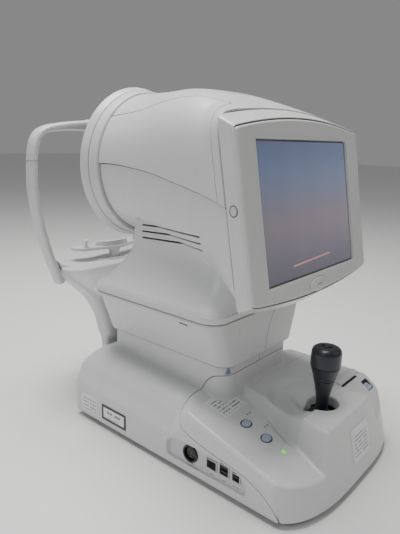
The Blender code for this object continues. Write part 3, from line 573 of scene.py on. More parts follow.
def lit_screen(tints):
    """A switched-on screen: a soft field of colour, a thin progress line and faint columns."""
    n = Nodes("screen_glass")
    parts = n.add("ShaderNodeSeparateXYZ", {"Vector": n.flat()})
    across, up = parts.outputs["X"], parts.outputs["Y"]
    fade = n.add("ShaderNodeValToRGB", {"Fac": up})
    ramp_colours = fade.color_ramp
    ramp_colours.interpolation = "B_SPLINE"
    low, top = tuple(tints.screen_low), tuple(tints.screen_top)
    warm = (low[0] * 1.22, low[1] * 1.12, low[2] * 1.0)
    stops = ((0.0, tinted(low, 0.62)), (0.22, tinted(low, 0.95)), (0.42, warm), (0.52, tinted(low, 1.05)),
             (0.75, tinted(top, 1.05)), (1.0, tinted(top, 0.78)))
    for at, tint in stops[1:-1]:
        ramp_colours.elements.new(at)
    for element, (at, tint) in zip(ramp_colours.elements, stops):
        element.position = at
        element.color = (*tint, 1.0)
    # painted sheen: the lit field brightens towards its right side, with faint columns on it
    wave = n.math("SINE", n.math("MULTIPLY", across, 21.0))
    painted_sheen = n.math("MULTIPLY_ADD", wave, 0.012, n.math("MULTIPLY_ADD", across, 0.22, 0.84))
    line = n.math("COMPARE", n.math("MULTIPLY_ADD", across, -0.045, up), 0.085, 0.006)
    reach = n.math("MULTIPLY", n.math("GREATER_THAN", across, 0.27), n.math("LESS_THAN", across, 0.70))
    bar = n.math("MULTIPLY", line, reach)
    glow = n.add("ShaderNodeVectorMath", {0: fade.outputs["Color"], "Scale": painted_sheen},
                 operation="SCALE").outputs[0]
    pink = n.add("ShaderNodeRGB").outputs[0]
    pink.default_value = (0.78, 0.36, 0.36, 1.0)
    field = n.mix(bar, glow, pink)
    n.wire("Base Color", field)
    n.wire("Emission Color", field)
    n.wire("Roughness", n.between(n.noise(n.local(), 30.0), 0.16, 0.24))
    n.shader.inputs["Emission Strength"].default_value = 0.20
    n.shader.inputs["Coat Weight"].default_value = 0.35
    n.shader.inputs["Coat Roughness"].default_value = 0.18
    FINISHES["screen_glass"] = n.material


def ruled_label(name, rows, heading, margin=0.08, frame_width=0.0):
    """A printed label with plain ruled bars in place of words."""
    n = Nodes(name)
    flat = n.flat()
    parts = n.add("ShaderNodeSeparateXYZ", {"Vector": flat})
    across, up = parts.outputs["X"], parts.outputs["Y"]
    bands = n.math("MULTIPLY", up, rows)
    row = n.math("FLOOR", bands)
    part = n.math("FRACT", bands)
    bar = n.math("COMPARE", part, 0.5, 0.2)
    spot = n.add("ShaderNodeCombineXYZ", {"X": n.math("MULTIPLY", across, 9.0), "Y": row})
    word = n.math("GREATER_THAN", n.noise(spot.outputs[0], 1.6, 1.0), 0.44)
    left = n.math("COMPARE", across, 0.5, 0.5 - margin)
    low = n.math("COMPARE", up, 0.5 - heading / 2, 0.5 - margin - heading / 2)
    ink = n.math("MULTIPLY", n.math("MULTIPLY", bar, word), n.math("MULTIPLY", left, low))
    ink = n.math("MULTIPLY", ink, 0.72)
    if frame_width:
        edge = n.math("MULTIPLY", n.math("COMPARE", across, 0.5, 0.5 - frame_width),
                      n.math("COMPARE", up, 0.5, 0.5 - frame_width * 2.2))
        ink = n.math("MAXIMUM", ink, n.math("SUBTRACT", 1.0, edge))
    n.wire("Base Color", n.mix(ink, (0.80, 0.81, 0.80), (0.03, 0.03, 0.035)))
    n.wire("Roughness", n.between(n.noise(n.local(), 60.0), 0.28, 0.42))
    FINISHES[name] = n.material


def make_finishes(tints):
    """All finishes of the instrument, named as the record names its material slots."""
    shell = tuple(tints.shell)
    moulded("shell_white", shell, 0.31, tints.grain, coat=0.14)
    # painted shade: the shell colour made darker for the sunk socket recess
    moulded("shell_painted_shade", tinted(shell, 0.94), 0.40, tints.grain)
    moulded("bezel_grey", tuple(tints.bezel), 0.40, tints.grain)
    moulded("pin_white", tinted(shell, 1.08), 0.26, 0.04, coat=0.2, soil=0.02)
    moulded("pad_white", tinted(shell, 1.02), 0.55, 0.25, 900.0, soil=0.04)
    moulded("black_rubber", (0.022, 0.022, 0.024), 0.62, 0.35, 1400.0, soil=0.18)
    moulded("black_plastic", (0.012, 0.014, 0.022), 0.34, 0.14, coat=0.10, soil=0.10)
    moulded("cone_black", (0.030, 0.030, 0.034), 0.42, 0.12, soil=0.08)
    moulded("button_blue", tuple(tints.keys), 0.24, 0.05, coat=0.35, soil=0.04)
    # dark joint lines, and painted shade: the linings and strips that darken gaps where their shadow falls
    moulded("joint_dark_and_shade", (0.10, 0.10, 0.105), 0.60, 0.2, soil=0.10)
    moulded("print_grey", (0.30, 0.31, 0.33), 0.50, 0.02, soil=0.05)
    moulded("board_green", (0.02, 0.14, 0.06), 0.35, 0.3, 700.0, soil=0.25)
    moulded("paper", (0.80, 0.80, 0.77), 0.80, 0.35, 1500.0, soil=0.03)
    moulded("tongue_dark", (0.05, 0.05, 0.055), 0.35, 0.1)
    metal("steel", (0.58, 0.585, 0.60), 0.30, (1.0, 1.0, 0.06), 0.05)
    metal("alloy", (0.62, 0.63, 0.64), 0.42, (0.06, 1.0, 1.0), 0.08)
    metal("gold", (0.78, 0.58, 0.28), 0.28, (1.0, 1.0, 1.0))
    lamp = moulded("led_green", (0.10, 0.62, 0.06), 0.22, 0.03, coat=0.5, soil=0.05)
    glow = lamp.node_tree.nodes["Principled BSDF"]
    glow.inputs["Emission Color"].default_value = (0.10, 0.95, 0.05, 1.0)
    glow.inputs["Emission Strength"].default_value = 0.9
    beads = moulded("ring_light", (0.62, 0.60, 0.58), 0.30, 0.05, coat=0.4)
    beads.node_tree.nodes["Principled BSDF"].inputs["Coat Roughness"].default_value = 0.1
    lens = moulded("lens_glass", (0.03, 0.045, 0.07), 0.06, 0.0, coat=1.0, soil=0.2)
    lens.node_tree.nodes["Principled BSDF"].inputs["Coat Roughness"].default_value = 0.02
    lit_screen(tints)
    ruled_label("label_side", 5.0, 0.16)
    ruled_label("label_framed", 2.6, 0.0, margin=0.22, frame_width=0.075)
    ruled_label("label_deck", 7.0, 0.10)
    ruled_label("label_front", 9.0, 0.10)


def named(finish):
    if finish not in FINISHES:
        raise RuntimeError(f"the finish {finish} has not been made")
    return FINISHES[finish]


# ---- stand: the form of its covers ---------------------------------------------------------------
DECK_BREAK = -62.0              # where the shoulder ends and the control deck starts
SIDE_EDGE = 57.0                # height where the side wall starts to round over
FRONT_BOW = [(0, BASE_FRONT), (30, BASE_FRONT), (76, -247), (107, -239), (124, -230), (138, -214)]
SHOULDER = [(0, 100), (80, 100), (90, 101), (99, 99), (113, 93), (124, 84), (131, 70), (138, SIDE_EDGE)]
SEAM_LINE = softened([(-400, 114.5), (-77, 114.5), (-64, 104), (-56, 88), (-59, 79), (-66, 69), (-75, 61.5),
                      (-88, 57), (-116, 51), (-145, 47), (-173, 42), (-187, 36), (-200, 28), (-211, 18),
                      (-218, 8), (-220, -30), (-400, -30)], 9, 4)


def deck_height(x, y):
    """Control deck in front of the shoulder: left wing, joystick pod and printer wing."""
    run = y - DECK_BREAK
    wing = 85 + 0.2 * run - 0.00024 * run * run
    flank = 149.7 - 3.955 * np.abs(x) - 0.798 * y
    pod = lower_of(flank, 88.5 + 0 * x, 5.0)
    printer = eased([(-250, 36), (-240, 45), (-225, 62), (-205, 79), (-190, 87.0), (DECK_BREAK, 88.0)], y)
    printer = printer - 14 * np.maximum(0.0, (x - 118) / 20) ** 2
    side = np.where(x > 0, printer, wing)
    deck = upper_of(side, pod, 2.5)
    across = np.abs(x)
    edge = np.where(x > 0, eased([(-229, 30), (-214, 50), (-190, 62), (-150, 66), (DECK_BREAK, 62)], y),
                    eased([(-229, 30), (-187, 36), (-117, 46), (DECK_BREAK, 52)], y))
    wide = np.where(x > 0, 13.0, eased([(-187, 7), (-117, 10), (DECK_BREAK, 16)], y))
    over = np.clip((across - (BASE_HALF - wide)) / wide, 0, 1)
    return edge + (deck - edge) * np.sqrt(np.maximum(0.0, 1 - over * over)) - hollow_at_stick(x, y)


def hollow_at_stick(x, y):
    """Hand room scooped out of the pod around the joystick."""
    reach = np.hypot(x - STICK_X, y - STICK_Y)
    bearing = np.degrees(np.arctan2(y - STICK_Y, x - STICK_X))
    sector = ramp(bearing, 35, 75) * (1 - ramp(np.where(bearing < -120, 180, bearing), 178, 215))
    bowl = 4.6 * (1 - ramp(reach, 60, 71)) * sector
    left = 9.0 * np.exp(-((x + 26) ** 2 + (y + 166) ** 2) / 16.0 ** 2)
    along = np.clip((y + 158) / -16.0, 0, 1)
    groove = 6.5 * np.exp(-((x + 3 + 8 * along) ** 2 + (y + 156 + 16 * along) ** 2) / 7.5 ** 2)
    pad = 3.2 * np.exp(-(((x - 17) / 24.0) ** 2 + ((y + 148) / 15.0) ** 2) ** 2)
    return bowl + left + groove - pad * sector


def stand_height(x, y):
    """Top of the stand's covers anywhere inside its outline."""
    shoulder = eased(SHOULDER, np.abs(x)) - 0.055 * (BASE_REAR - y)
    back = ramp(y, DECK_BREAK - 12, DECK_BREAK + 10)
    high = shoulder * back + deck_height(x, y) * (1 - back)
    nose = BASE_BOTTOM + 2 + 4.0 * (y - eased(FRONT_BOW, np.abs(x)))
    tail = SIDE_EDGE + 26 + 1.9 * (BASE_REAR - y)
    return np.maximum(BASE_BOTTOM + 1.5, lower_of(lower_of(high, nose, 5.0), tail, 9.0))


def stand_form(sizes):
    """Closed drawing of the stand's outer form, and one of the column on it."""
    stations = np.concatenate([np.arange(BASE_REAR, -210, -3.0), np.arange(-210, BASE_FRONT - 0.1, -0.8)])
    across = np.sin(np.linspace(-math.pi / 2, math.pi / 2, 181))
    rows = []
    for y in stations:
        half = float(eased([(-250, 34), (-249, 58), (-247, 76), (-239, 107), (-230, 124), (-222, 133),
                            (-214, BASE_HALF)], y))
        x = across * (half - 0.02)
        z = stand_height(x, np.full(len(x), y))
        rows.append([(-half, y, BASE_BOTTOM - 3)] + list(zip(x, [y] * len(x), z))
                    + [(half, y, BASE_BOTTOM - 3)])
    half = sizes.column_half / MM
    outline = rounded_box(-half, half, sizes.column_front / MM, sizes.column_rear / MM, 20, 12)
    column = skin([[(x, y, z) for x, y in outline] for z in (50, 80, 110, 140, COLUMN_TOP + 4)])
    return skin(rows), column


def recess_line(grow):
    """Side view of the window around the sockets, as Y and Z."""
    line = [(-49, 15.5), (-172, 15.5), (-173, 27), (-168, 38), (-158, 43), (-140, 46), (-100, 46.5),
            (-68, 46), (-54, 43), (-49, 37)]
    middle = np.array((-110.0, 30.0))
    grown = [middle + (np.array(point) - middle) * (1 + grow / 45.0) for point in line]
    return softened(grown, 6, 4)


class REFRACTION_OT_stand_covers(Operator):
    """Mould the stand: rear cover with its column, and the deck cover in front of it"""
    bl_idname = "refraction.stand_covers"
    bl_label = "Stand Covers"

    def execute(self, context):
        sizes = context.scene.refraction_stand
        whole = melted(stand_form(sizes), sizes.voxel / MM, 4)
        trimmed(whole, lambda p: p[:, 2] - BASE_BOTTOM - 0.2)
        trimmed(whole, lambda p: COLUMN_TOP - 0.6 - p[:, 2])
        rear = whole.copy()
        trimmed(rear, lambda p: -inside(SEAM_LINE, p[:, 1], p[:, 2]) - SEAM)
        trimmed(rear, lambda p: np.maximum(-inside(recess_line(0), p[:, 1], p[:, 2]), p[:, 0] + 120))
        trimmed(rear, lambda p: np.maximum(-inside(rounded_box(93, 125, 20, 62, 3), p[:, 0], p[:, 2]),
                                           130 - p[:, 1]))
        hemmed(rear, ROLLED)
        place("rear_cover", rear, "shell_white", "base", ("rear_base_cover",))
        deck = whole
        trimmed(deck, lambda p: inside(SEAM_LINE, p[:, 1], p[:, 2]) - SEAM)
        well = sizes.well_radius / MM
        trimmed(deck, lambda p: np.maximum(np.hypot(p[:, 0] - STICK_X, p[:, 1] - STICK_Y) - well,
                                           60 - p[:, 2]))
        pocket = rounded_box(LID[0].x - 0.7, LID[1].x + 0.7, LID[0].y - 4.0, LID[1].y + 0.7, 3)
        trimmed(deck, lambda p: np.maximum(-inside(pocket, p[:, 0], p[:, 1]), 50 - p[:, 2]))
        for node, grow in (("chin_up_button", 0.9), ("chin_down_button", 0.9), ("power_lamp", 0.7)):
            low, high = box_of(node)
            middle = (low + high) / 2
            trimmed(deck, lambda p: np.maximum(
                np.hypot((p[:, 0] - middle.x) / (high.x - middle.x + grow),
                         (p[:, 1] - middle.y) / (high.y - middle.y + grow - 1.4)) * 6 - 6, 30 - p[:, 2]))
        key_low, key_high = box_of("door_release_button")
        key = rounded_box(key_low.x - 2.0, key_high.x + 2.0, key_low.y - 2.0, key_high.y + 1.6, 1.5)
        trimmed(deck, lambda p: np.maximum(-inside(key, p[:, 0], p[:, 1]), 30 - p[:, 2]))
        hemmed(deck, ((0.45, 0.12), (1.1, 0.5), (1.7, 1.3), (1.9, 2.4), (1.9, 13.0)),
               lambda p: math.hypot(p.x - STICK_X, p.y - STICK_Y) < well + 2)
        hemmed(deck, ROLLED + ((0.34, 5.0),), lambda p: math.hypot(p.x - STICK_X, p.y - STICK_Y) > well + 2)
        place("deck_cover_skin", deck, "shell_white", "base", ("deck_cover",))
        return {"FINISHED"}


def on_deck(x, y, lift=0.0):
    """A point on the deck skin, lifted off it."""
    return Vector((x, y, float(stand_height(np.array([x]), np.array([y]))[0]) + lift))


class REFRACTION_OT_column_marks(Operator):
    """Add the column's height mark, its front joint line and a dark lining inside the column, painted shade
    behind the joints
    """
    bl_idname = "refraction.column_marks"
    bl_label = "Column Marks"

    def execute(self, context):
        sizes = context.scene.refraction_stand
        half = sizes.column_half / MM
        front = sizes.column_front / MM
        rows = []
        for level, spread in ((116.5, 0.22), (120, 0.155), (124, 0.085), (128.4, 0.012)):
            angle = math.radians(243)
            rows.append([(20 - half + 20.25 * math.cos(angle + s * spread),
                          front + 20 + 20.25 * math.sin(angle + s * spread), level)
                         for s in np.linspace(-1, 1, 9)])
        mark = skin(rows, around=False, caps=False)
        bmesh.ops.solidify(mark, geom=mark.faces, thickness=0.6)
        place("column_mark", mark, "button_blue", "base", (), facing=True)
        line = plate(rounded_box(-0.35, 0.35, 115.5, 170, 0.2, 2), front - 0.06, front + 1.5, "Y", 0.05, 1)
        place("column_joint_line", line, "joint_dark_and_shade", "base", ())
        # painted shade: a dark sleeve inside the column darkens what shows through its joints
        lining = []
        for grow in (0, 1):
            outline = rounded_box(4 - half, half - 4, front + 4, sizes.column_rear / MM - 4, 17, 8)
            lining.append([(x, y, 40 + grow * (COLUMN_TOP - 44)) for x, y in outline])
        place("column_shade_lining", skin(lining), "joint_dark_and_shade", "base", (), facing=True)
        return {"FINISHED"}


class REFRACTION_OT_feet(Operator):
    """Turn the ribbed rubber feet under the stand"""
    bl_idname = "refraction.feet"
    bl_label = "Rubber Feet"

    def execute(self, context):
        for number in range(1, 5):
            low, high = box_of(f"rubber_foot_{number}")
            middle = (low + high) / 2
            radius = high.x - middle.x
            tall = high.z - low.z
            profile = [(0, 0.8), (4.2, 0.8), (4.2, 0), (radius - 2.5, 0), (radius - 0.6, 0.8), (radius, 2.2),
                       (radius - 0.6, 3.4), (radius - 1.1, 3.6), (radius - 1.1, 4.2), (radius - 0.6, 4.5),
                       (radius - 1.2, tall), (0, tall)]
            foot = lathe(softened(profile, 0.6, 3, closed=False), (middle.x, middle.y, low.z), UP, 56)
            place(f"foot_{number}", foot, "black_rubber", "base", (f"rubber_foot_{number}",))
        return {"FINISHED"}


# ---- sockets, labels and keys of the stand -------------------------------------------------------
def block(low, high, edge=0.3):
    """A rectangular block with softened edges."""
    outline = rounded_box(low[0], high[0], low[1], high[1], max(edge, 0.05), 3)
    return plate(outline, low[2], high[2], "Z", edge, 2)


def shield(low, high, wall, deep):
    """A sheet-metal socket shell with an open mouth on its -X side."""
    y0, z0, y1, z1 = low.y, low.z, high.y, high.z
    rows = []
    for x, shrink in ((high.x, 0), (low.x + 0.3, 0), (low.x, 0.3), (low.x, wall - 0.1), (low.x + 0.2, wall),
                      (low.x + deep, wall)):
        rows.append([(x, y, z) for y, z in
                     rounded_box(y0 + shrink, y1 - shrink, z0 + shrink, z1 - shrink, 0.5, 3)])
    bm = skin(rows)
    bmesh.ops.recalc_face_normals(bm, faces=bm.faces)
    return bm


class REFRACTION_OT_sockets(Operator):
    """Fit the side socket bank: round multi-pin, network and USB sockets"""
    bl_idname = "refraction.sockets"
    bl_label = "Side Sockets"

    def execute(self, context):
        self.recess()
        self.multipin()
        for name, count, reach, shelves in (("lan", 8, 5.2, ()), ("usb_host", 4, 2.5, (0.30, 0.70)),
                                            ("usb_device", 2, 2.0, (0.5,))):
            self.socket(name, count, reach, shelves)
        return {"FINISHED"}

    def recess(self):
        """The sunk panel with its sloping surround."""
        low = box_of("socket_panel")[0]
        rows = []
        for x, grow in ((-137.2, -0.25), (-136.2, -0.9), (low.x + 0.3, -1.6), (low.x, -2.1)):
            rows.append([(x, y, z) for y, z in evenly(recess_line(grow), 96)])
        wall = skin(rows, caps=False)
        bmesh.ops.recalc_face_normals(wall, faces=wall.faces)
        bmesh.ops.solidify(wall, geom=wall.faces, thickness=0.8)
        # painted shade: the surround and the sunk panel take the darkened shell colour
        place("socket_surround", wall, "shell_painted_shade", "base", (), facing=True)
        dress("socket_panel", "shell_painted_shade")
        bars = []
        for y, wide in ((-87, 9), (-120.5, 6), (-139.4, 6), (-156.7, 10)):
            bars.append(plate(rounded_box(y - wide / 2, y + wide / 2, 19.3, 20.7, 0.3, 2),
                              low.x - 0.12, low.x + 0.05, "X", 0.04, 1))
        place("socket_captions", joined(*bars), "print_grey", "base", (), facing=True)

    def multipin(self):
        low, high = box_of("multipin_socket")
        middle = (low + high) / 2
        radius = middle.y - low.y
        ring = [(0, 3.4), (radius - 4.4, 3.4), (radius - 4.4, 6.0), (radius - 2.4, 6.0), (radius - 2.4, 0.9),
                (radius - 1.7, 0.2), (radius - 0.7, 0.0), (radius, 0.7), (radius, high.x - low.x),
                (0, high.x - low.x)]
        body = lathe(softened(ring, 0.35, 3, closed=False), (low.x, middle.y, middle.z), TO_RIGHT, 72)
        key = block((low.x + 1.0, middle.y - 1.6, middle.z + radius - 4.9),
                    (low.x + 6.0, middle.y + 1.6, middle.z + radius - 2.2), 0.25)
        place("multipin_body", joined(body, key), "black_plastic", "base", ("multipin_socket",), facing=True)
        pin = [(0, 0), (0.28, 0.05), (0.5, 0.4), (0.5, 2.4), (0, 2.4)]
        pins = []
        for ring_radius, count in ((4.6, 7), (1.9, 3)):
            for k in range(count):
                angle = 2 * math.pi * k / count + 0.4
                spot = (low.x + 1.4, middle.y + ring_radius * math.cos(angle),
                        middle.z + ring_radius * math.sin(angle))
                pins.append(lathe(pin, spot, TO_RIGHT, 12))
        place("multipin_pins", joined(*pins), "gold", "base", (), facing=True)

    def socket(self, name, count, reach, shelves):
        """A jack: sheet-metal shell, dark insert on its shelves, and a row of gold contacts."""
        low, high = box_of(f"{name}_jack")
        place(f"{name}_socket_shell", shield(low, high, 1.1, 10.5), "steel", "base", (f"{name}_jack",))
        middle = (low.y + high.y) / 2
        tongues = []
        for at in shelves:
            level = low.z + (high.z - low.z) * at
            tongues.append(block((low.x + 1.4, low.y + 2.4, level - 0.9),
                                 (low.x + 10, high.y - 2.4, level + 0.9), 0.2))
        if not shelves:
            tongues.append(block((low.x + 4.5, low.y + 1.6, high.z - 3.4),
                                 (low.x + 10, high.y - 1.6, high.z - 1.5), 0.2))
        lining = block((low.x + 9.0, low.y + 1.0, low.z + 1.0),
                       (low.x + 10.4, high.y - 1.0, high.z - 1.0), 0.1)
        place(f"{name}_socket_insert", joined(lining, *tongues), "tongue_dark", "base", (),
              facing=True)
        strips = []
        levels = [low.z + (high.z - low.z) * at - 1.05 for at in shelves] or [high.z - 3.6]
        for level in levels:
            for k in range(count):
                y = middle + (k - (count - 1) / 2) * reach * 2 / count
                strips.append(block((low.x + 2.2, y - 0.32, level), (low.x + 8, y + 0.32, level + 0.3), 0.08))
        place(f"{name}_socket_contacts", joined(*strips), "gold", "base", (), facing=True)


def dress(node, finish):
    """Give a CAD node that stays as it is one finish on all its faces."""
    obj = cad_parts[node]
    obj.data.materials.clear()
    obj.data.materials.append(named(finish))
    for polygon in obj.data.polygons:
        polygon.material_index = 0


def label_sheet(name, rows, finish, body):
    """A thin printed sheet through rows of points, with its print laid over it once."""
    bm = skin(rows, around=False, caps=False)
    sheet = bm.loops.layers.uv.new("UVMap")
    tall, wide = len(rows) - 1, len(rows[0]) - 1
    bm.verts.index_update()
    for face in bm.faces:
        for loop in face.loops:
            row, column = divmod(loop.vert.index, wide + 1)
            loop[sheet].uv = (column / wide, 1 - row / tall)
    return place(name, bm, finish, body, ())


class REFRACTION_OT_labels(Operator):
    """Stick plain printed labels with ruled bars on the stand"""
    bl_idname = "refraction.labels"
    bl_label = "Labels"

    def execute(self, context):
        out = -BASE_HALF - 0.40
        for name, y0, y1, z0, z1, finish in (("label_rear", 125, 89, 14.5, 42, "label_side"),
                                             ("label_middle", 79, 28, 15.5, 39, "label_framed")):
            rows = [[(out, y, z) for y in np.linspace(y0, y1, 12)] for z in np.linspace(z1, z0, 8)]
            label_sheet(name, rows, finish, "base")
        turn = math.radians(3)
        rows = []
        for v in np.linspace(18, -18, 12):
            row = []
            for u in np.linspace(-23, 23, 14):
                x = -75 + u * math.cos(turn) - v * math.sin(turn)
                y = -92 + u * math.sin(turn) + v * math.cos(turn)
                row.append(tuple(on_deck(x, y, 0.28)))
            rows.append(row)
        label_sheet("label_on_deck", rows, "label_deck", "base")
        rows = []
        for z in np.linspace(70, 29, 14):
            row = []
            for x in np.linspace(-11, 36, 12):
                y = float(eased(FRONT_BOW, abs(x))) + (z - BASE_BOTTOM - 2) / 4.0
                row.append((x, y - 0.35, z))
            rows.append(row)
        label_sheet("label_on_front", rows, "label_front", "base")
        return {"FINISHED"}


def oval_key(node, crown):
    """A domed oval key in the place of its CAD node, leaning with the surface it stands in."""
    low, high = box_of(node)
    middle = (low + high) / 2
    long_half = high.x - middle.x
    wide_half = (high.y - low.y) / 2 - 1.1
    slope = math.radians(14.0)
    normal = Vector((0.0, -math.sin(slope), math.cos(slope)))
    turn = Vector((0, 0, 1)).rotation_difference(normal).to_matrix()
    base_point = on_deck(middle.x, middle.y)
    profile = softened([(1.0, -6), (1.0, crown * 0.45), (0.9, crown * 0.8), (0.6, crown), (0, crown * 1.08)],
                       0.12, 3, closed=False)
    rows = []
    for radius, height in profile[:-1]:
        row = []
        for k in range(56):
            angle = 2 * math.pi * k / 56
            local = Vector((radius * long_half * math.cos(angle), radius * wide_half * math.sin(angle),
                            height))
            row.append(tuple(turn @ local + base_point))
        rows.append(row)
    bm = skin(rows)
    bmesh.ops.recalc_face_normals(bm, faces=bm.faces)
    return bm, base_point, turn, long_half, wide_half


def oval_ring(base_point, turn, long_half, wide_half, section):
    """A ring of the given (outward, up) section around an oval."""
    rows = []
    for out, up in section:
        row = []
        for k in range(56):
            angle = 2 * math.pi * k / 56
            local = Vector(((long_half + out) * math.cos(angle), (wide_half + out) * math.sin(angle), up))
            row.append(tuple(turn @ local + base_point))
        rows.append(row)
    bm = hoop(rows)
    bmesh.ops.recalc_face_normals(bm, faces=bm.faces)
    return bm


class REFRACTION_OT_deck_keys(Operator):
    """Fit the chin rest keys, their arrows, the power lamp and the printer lid key"""
    bl_idname = "refraction.deck_keys"
    bl_label = "Deck Keys"

    def execute(self, context):
        section = [(0.35, -3), (0.35, -0.1), (0.7, 0.32), (1.5, 0.25), (1.9, -0.4), (1.9, -3)]
        for node, body, crown, finish in (("chin_up_button", "chin_up_key", 1.9, "button_blue"),
                                          ("chin_down_button", "chin_down_key", 1.9, "button_blue"),
                                          ("power_lamp", "base", 0.9, "led_green")):
            key, *spot = oval_key(node, crown)
            place(f"{node}_cap", key, finish, body, (node,))
            collar = oval_ring(*spot, section)
            ring_finish = "joint_dark_and_shade" if finish == "button_blue" else "shell_white"
            place(f"{node}_collar", collar, ring_finish, "base", ())
        self.arrows()
        self.lid_key()
        return {"FINISHED"}

    def arrows(self):
        """Small printed arrows that say which way each key drives the chin rest."""
        marks = []
        for y, sign in ((-122, 1), (-150, -1)):
            for shift in (0.0, 5.5):
                corners = [(-70 + shift, y - sign * 1.6), (-67.6 + shift, y + sign * 1.8),
                           (-65.2 + shift, y - sign * 1.6)]
                rows = [[tuple(on_deck(px, py, lift)) for px, py in corners] for lift in (0.02, 0.16)]
                marks.append(skin(rows))
        place("key_arrows", joined(*marks), "print_grey", "base", (), facing=True)

    def lid_key(self):
        low, high = box_of("door_release_button")
        rows = []
        outline = rounded_box(low.x, high.x, low.y, high.y, 1.6, 5)
        for lift, inset in ((-9, 0), (-1.4, 0), (-0.9, 0.15), (-0.5, 0.6), (-0.35, 1.4), (-0.3, 4.5)):
            rows.append([(*inner, high.z + lift + 0.26 * (edge[1] - high.y) * (lift > -5))
                         for inner, edge in zip(drawn_in(outline, low, high, inset), outline)])
        place("lid_key_cap", skin(rows), "button_blue", "door_key", ("door_release_button",), facing=True)
        outline = rounded_box(low.x - 1.7, high.x + 1.7, low.y - 1.7, high.y + 1.3, 1.5, 4)
        inner = rounded_box(low.x - 0.4, high.x + 0.4, low.y - 0.4, high.y + 0.4, 1.5, 4)
        rows = []
        for line, drop in ((outline, 8.0), (outline, 1.6), (inner, 2.6), (inner, 8.0)):
            rows.append([tuple(on_deck(x, y, -drop)) for x, y in line])
        place("lid_key_surround", hoop(rows), "black_plastic", "base", (), facing=True)


def arc(radius, angles):
    """Points on a ball's profile, as (radius, height), for angles in degrees from its pole."""
    return [(radius * math.sin(math.radians(a)), radius * math.cos(math.radians(a))) for a in angles]


class REFRACTION_OT_joystick(Operator):
    """Turn the joystick: shaft, rubber boot, height ring, grip and top button"""
    bl_idname = "refraction.joystick"
    bl_label = "Joystick"

    def execute(self, context):
        pivot = (STICK_X, STICK_Y, STICK_PIVOT)
        up = UP
        dome = arc(28, range(35, 13, -3))
        boot = arc(26, (14, 20, 27, 35))
        boot += [(dome[0][0] - 0.1, dome[0][1] - 0.5), *dome[:2]]
        for k in range(4):
            radius, level = dome[2 + k]
            boot += [(radius + 0.35, level + 0.55), (radius - 0.3, level + 0.55)]
        boot += [(8.6, 27.4), (8.2, 30.5), (4.8, 31.0)]
        place("joystick_boot", lathe(softened(boot, 0.4, 3, closed=False), pivot, up, 64),
              "black_rubber", "stick", ("joystick_dust_cap",))
        shaft = [(0, -9), (4.5, -7.8), (7.8, -4.5), (9, 0), (7.8, 4.5), (4.5, 7.8), (4.5, 29), (7.7, 30.5),
                 (8.1, 44), (8.4, 47), (11.4, 62), (13.4, 70.2), (12.9, 70.9), (0, 70.9)]
        place("joystick_stem", lathe(softened(shaft, 1.2, 4, closed=False), pivot, up, 64),
              "black_plastic", "stick", ("joystick_shaft",))
        ring = [(0, 71.1), (13.2, 71.1), (13.9, 71.6), (14.1, 73.4), (13.7, 73.9), (14.6, 74.6), (15.2, 77),
                (18.0, 86.4), (18.5, 88.1), (18.0, 88.5), (0, 88.5)]
        place("joystick_ring", lathe(softened(ring, 0.5, 3, closed=False), pivot, up, 72),
              "black_plastic", "stick_ring", ("joystick_height_ring",))
        self.grip(pivot, up)
        button = [(0, 104), (5.9, 104), (5.9, 115.6), (5.2, 116.5), (3.0, 117.1), (0, 117.3)]
        place("joystick_button", lathe(softened(button, 0.8, 4, closed=False), pivot, up, 48),
              "black_plastic", "stick_trigger", ("joystick_trigger",))
        return {"FINISHED"}

    def grip(self, pivot, up):
        """The grip, with shallow flutes for the fingers."""
        profile = [(0, 88.8), (18.4, 88.8), (19.0, 89.6), (19.0, 104.5), (18.6, 108.2), (17.4, 111.2),
                   (14.6, 113.4), (10.4, 114.5), (7.0, 114.9), (6.4, 114.5), (6.4, 102), (0, 102)]
        grip = lathe(softened(profile, 1.0, 4, closed=False), pivot, up, 96)
        for vert in grip.verts:
            away = Vector((vert.co.x - pivot[0], vert.co.y - pivot[1]))
            if away.length > 18.2 and vert.co.z < pivot[2] + 105:
                flute = 0.22 * (0.5 + 0.5 * math.cos(24 * math.atan2(away.y, away.x)))
                vert.co.x -= away.x / away.length * flute
                vert.co.y -= away.y / away.length * flute
        place("joystick_handle", grip, "black_plastic", "stick", ("joystick_grip",))


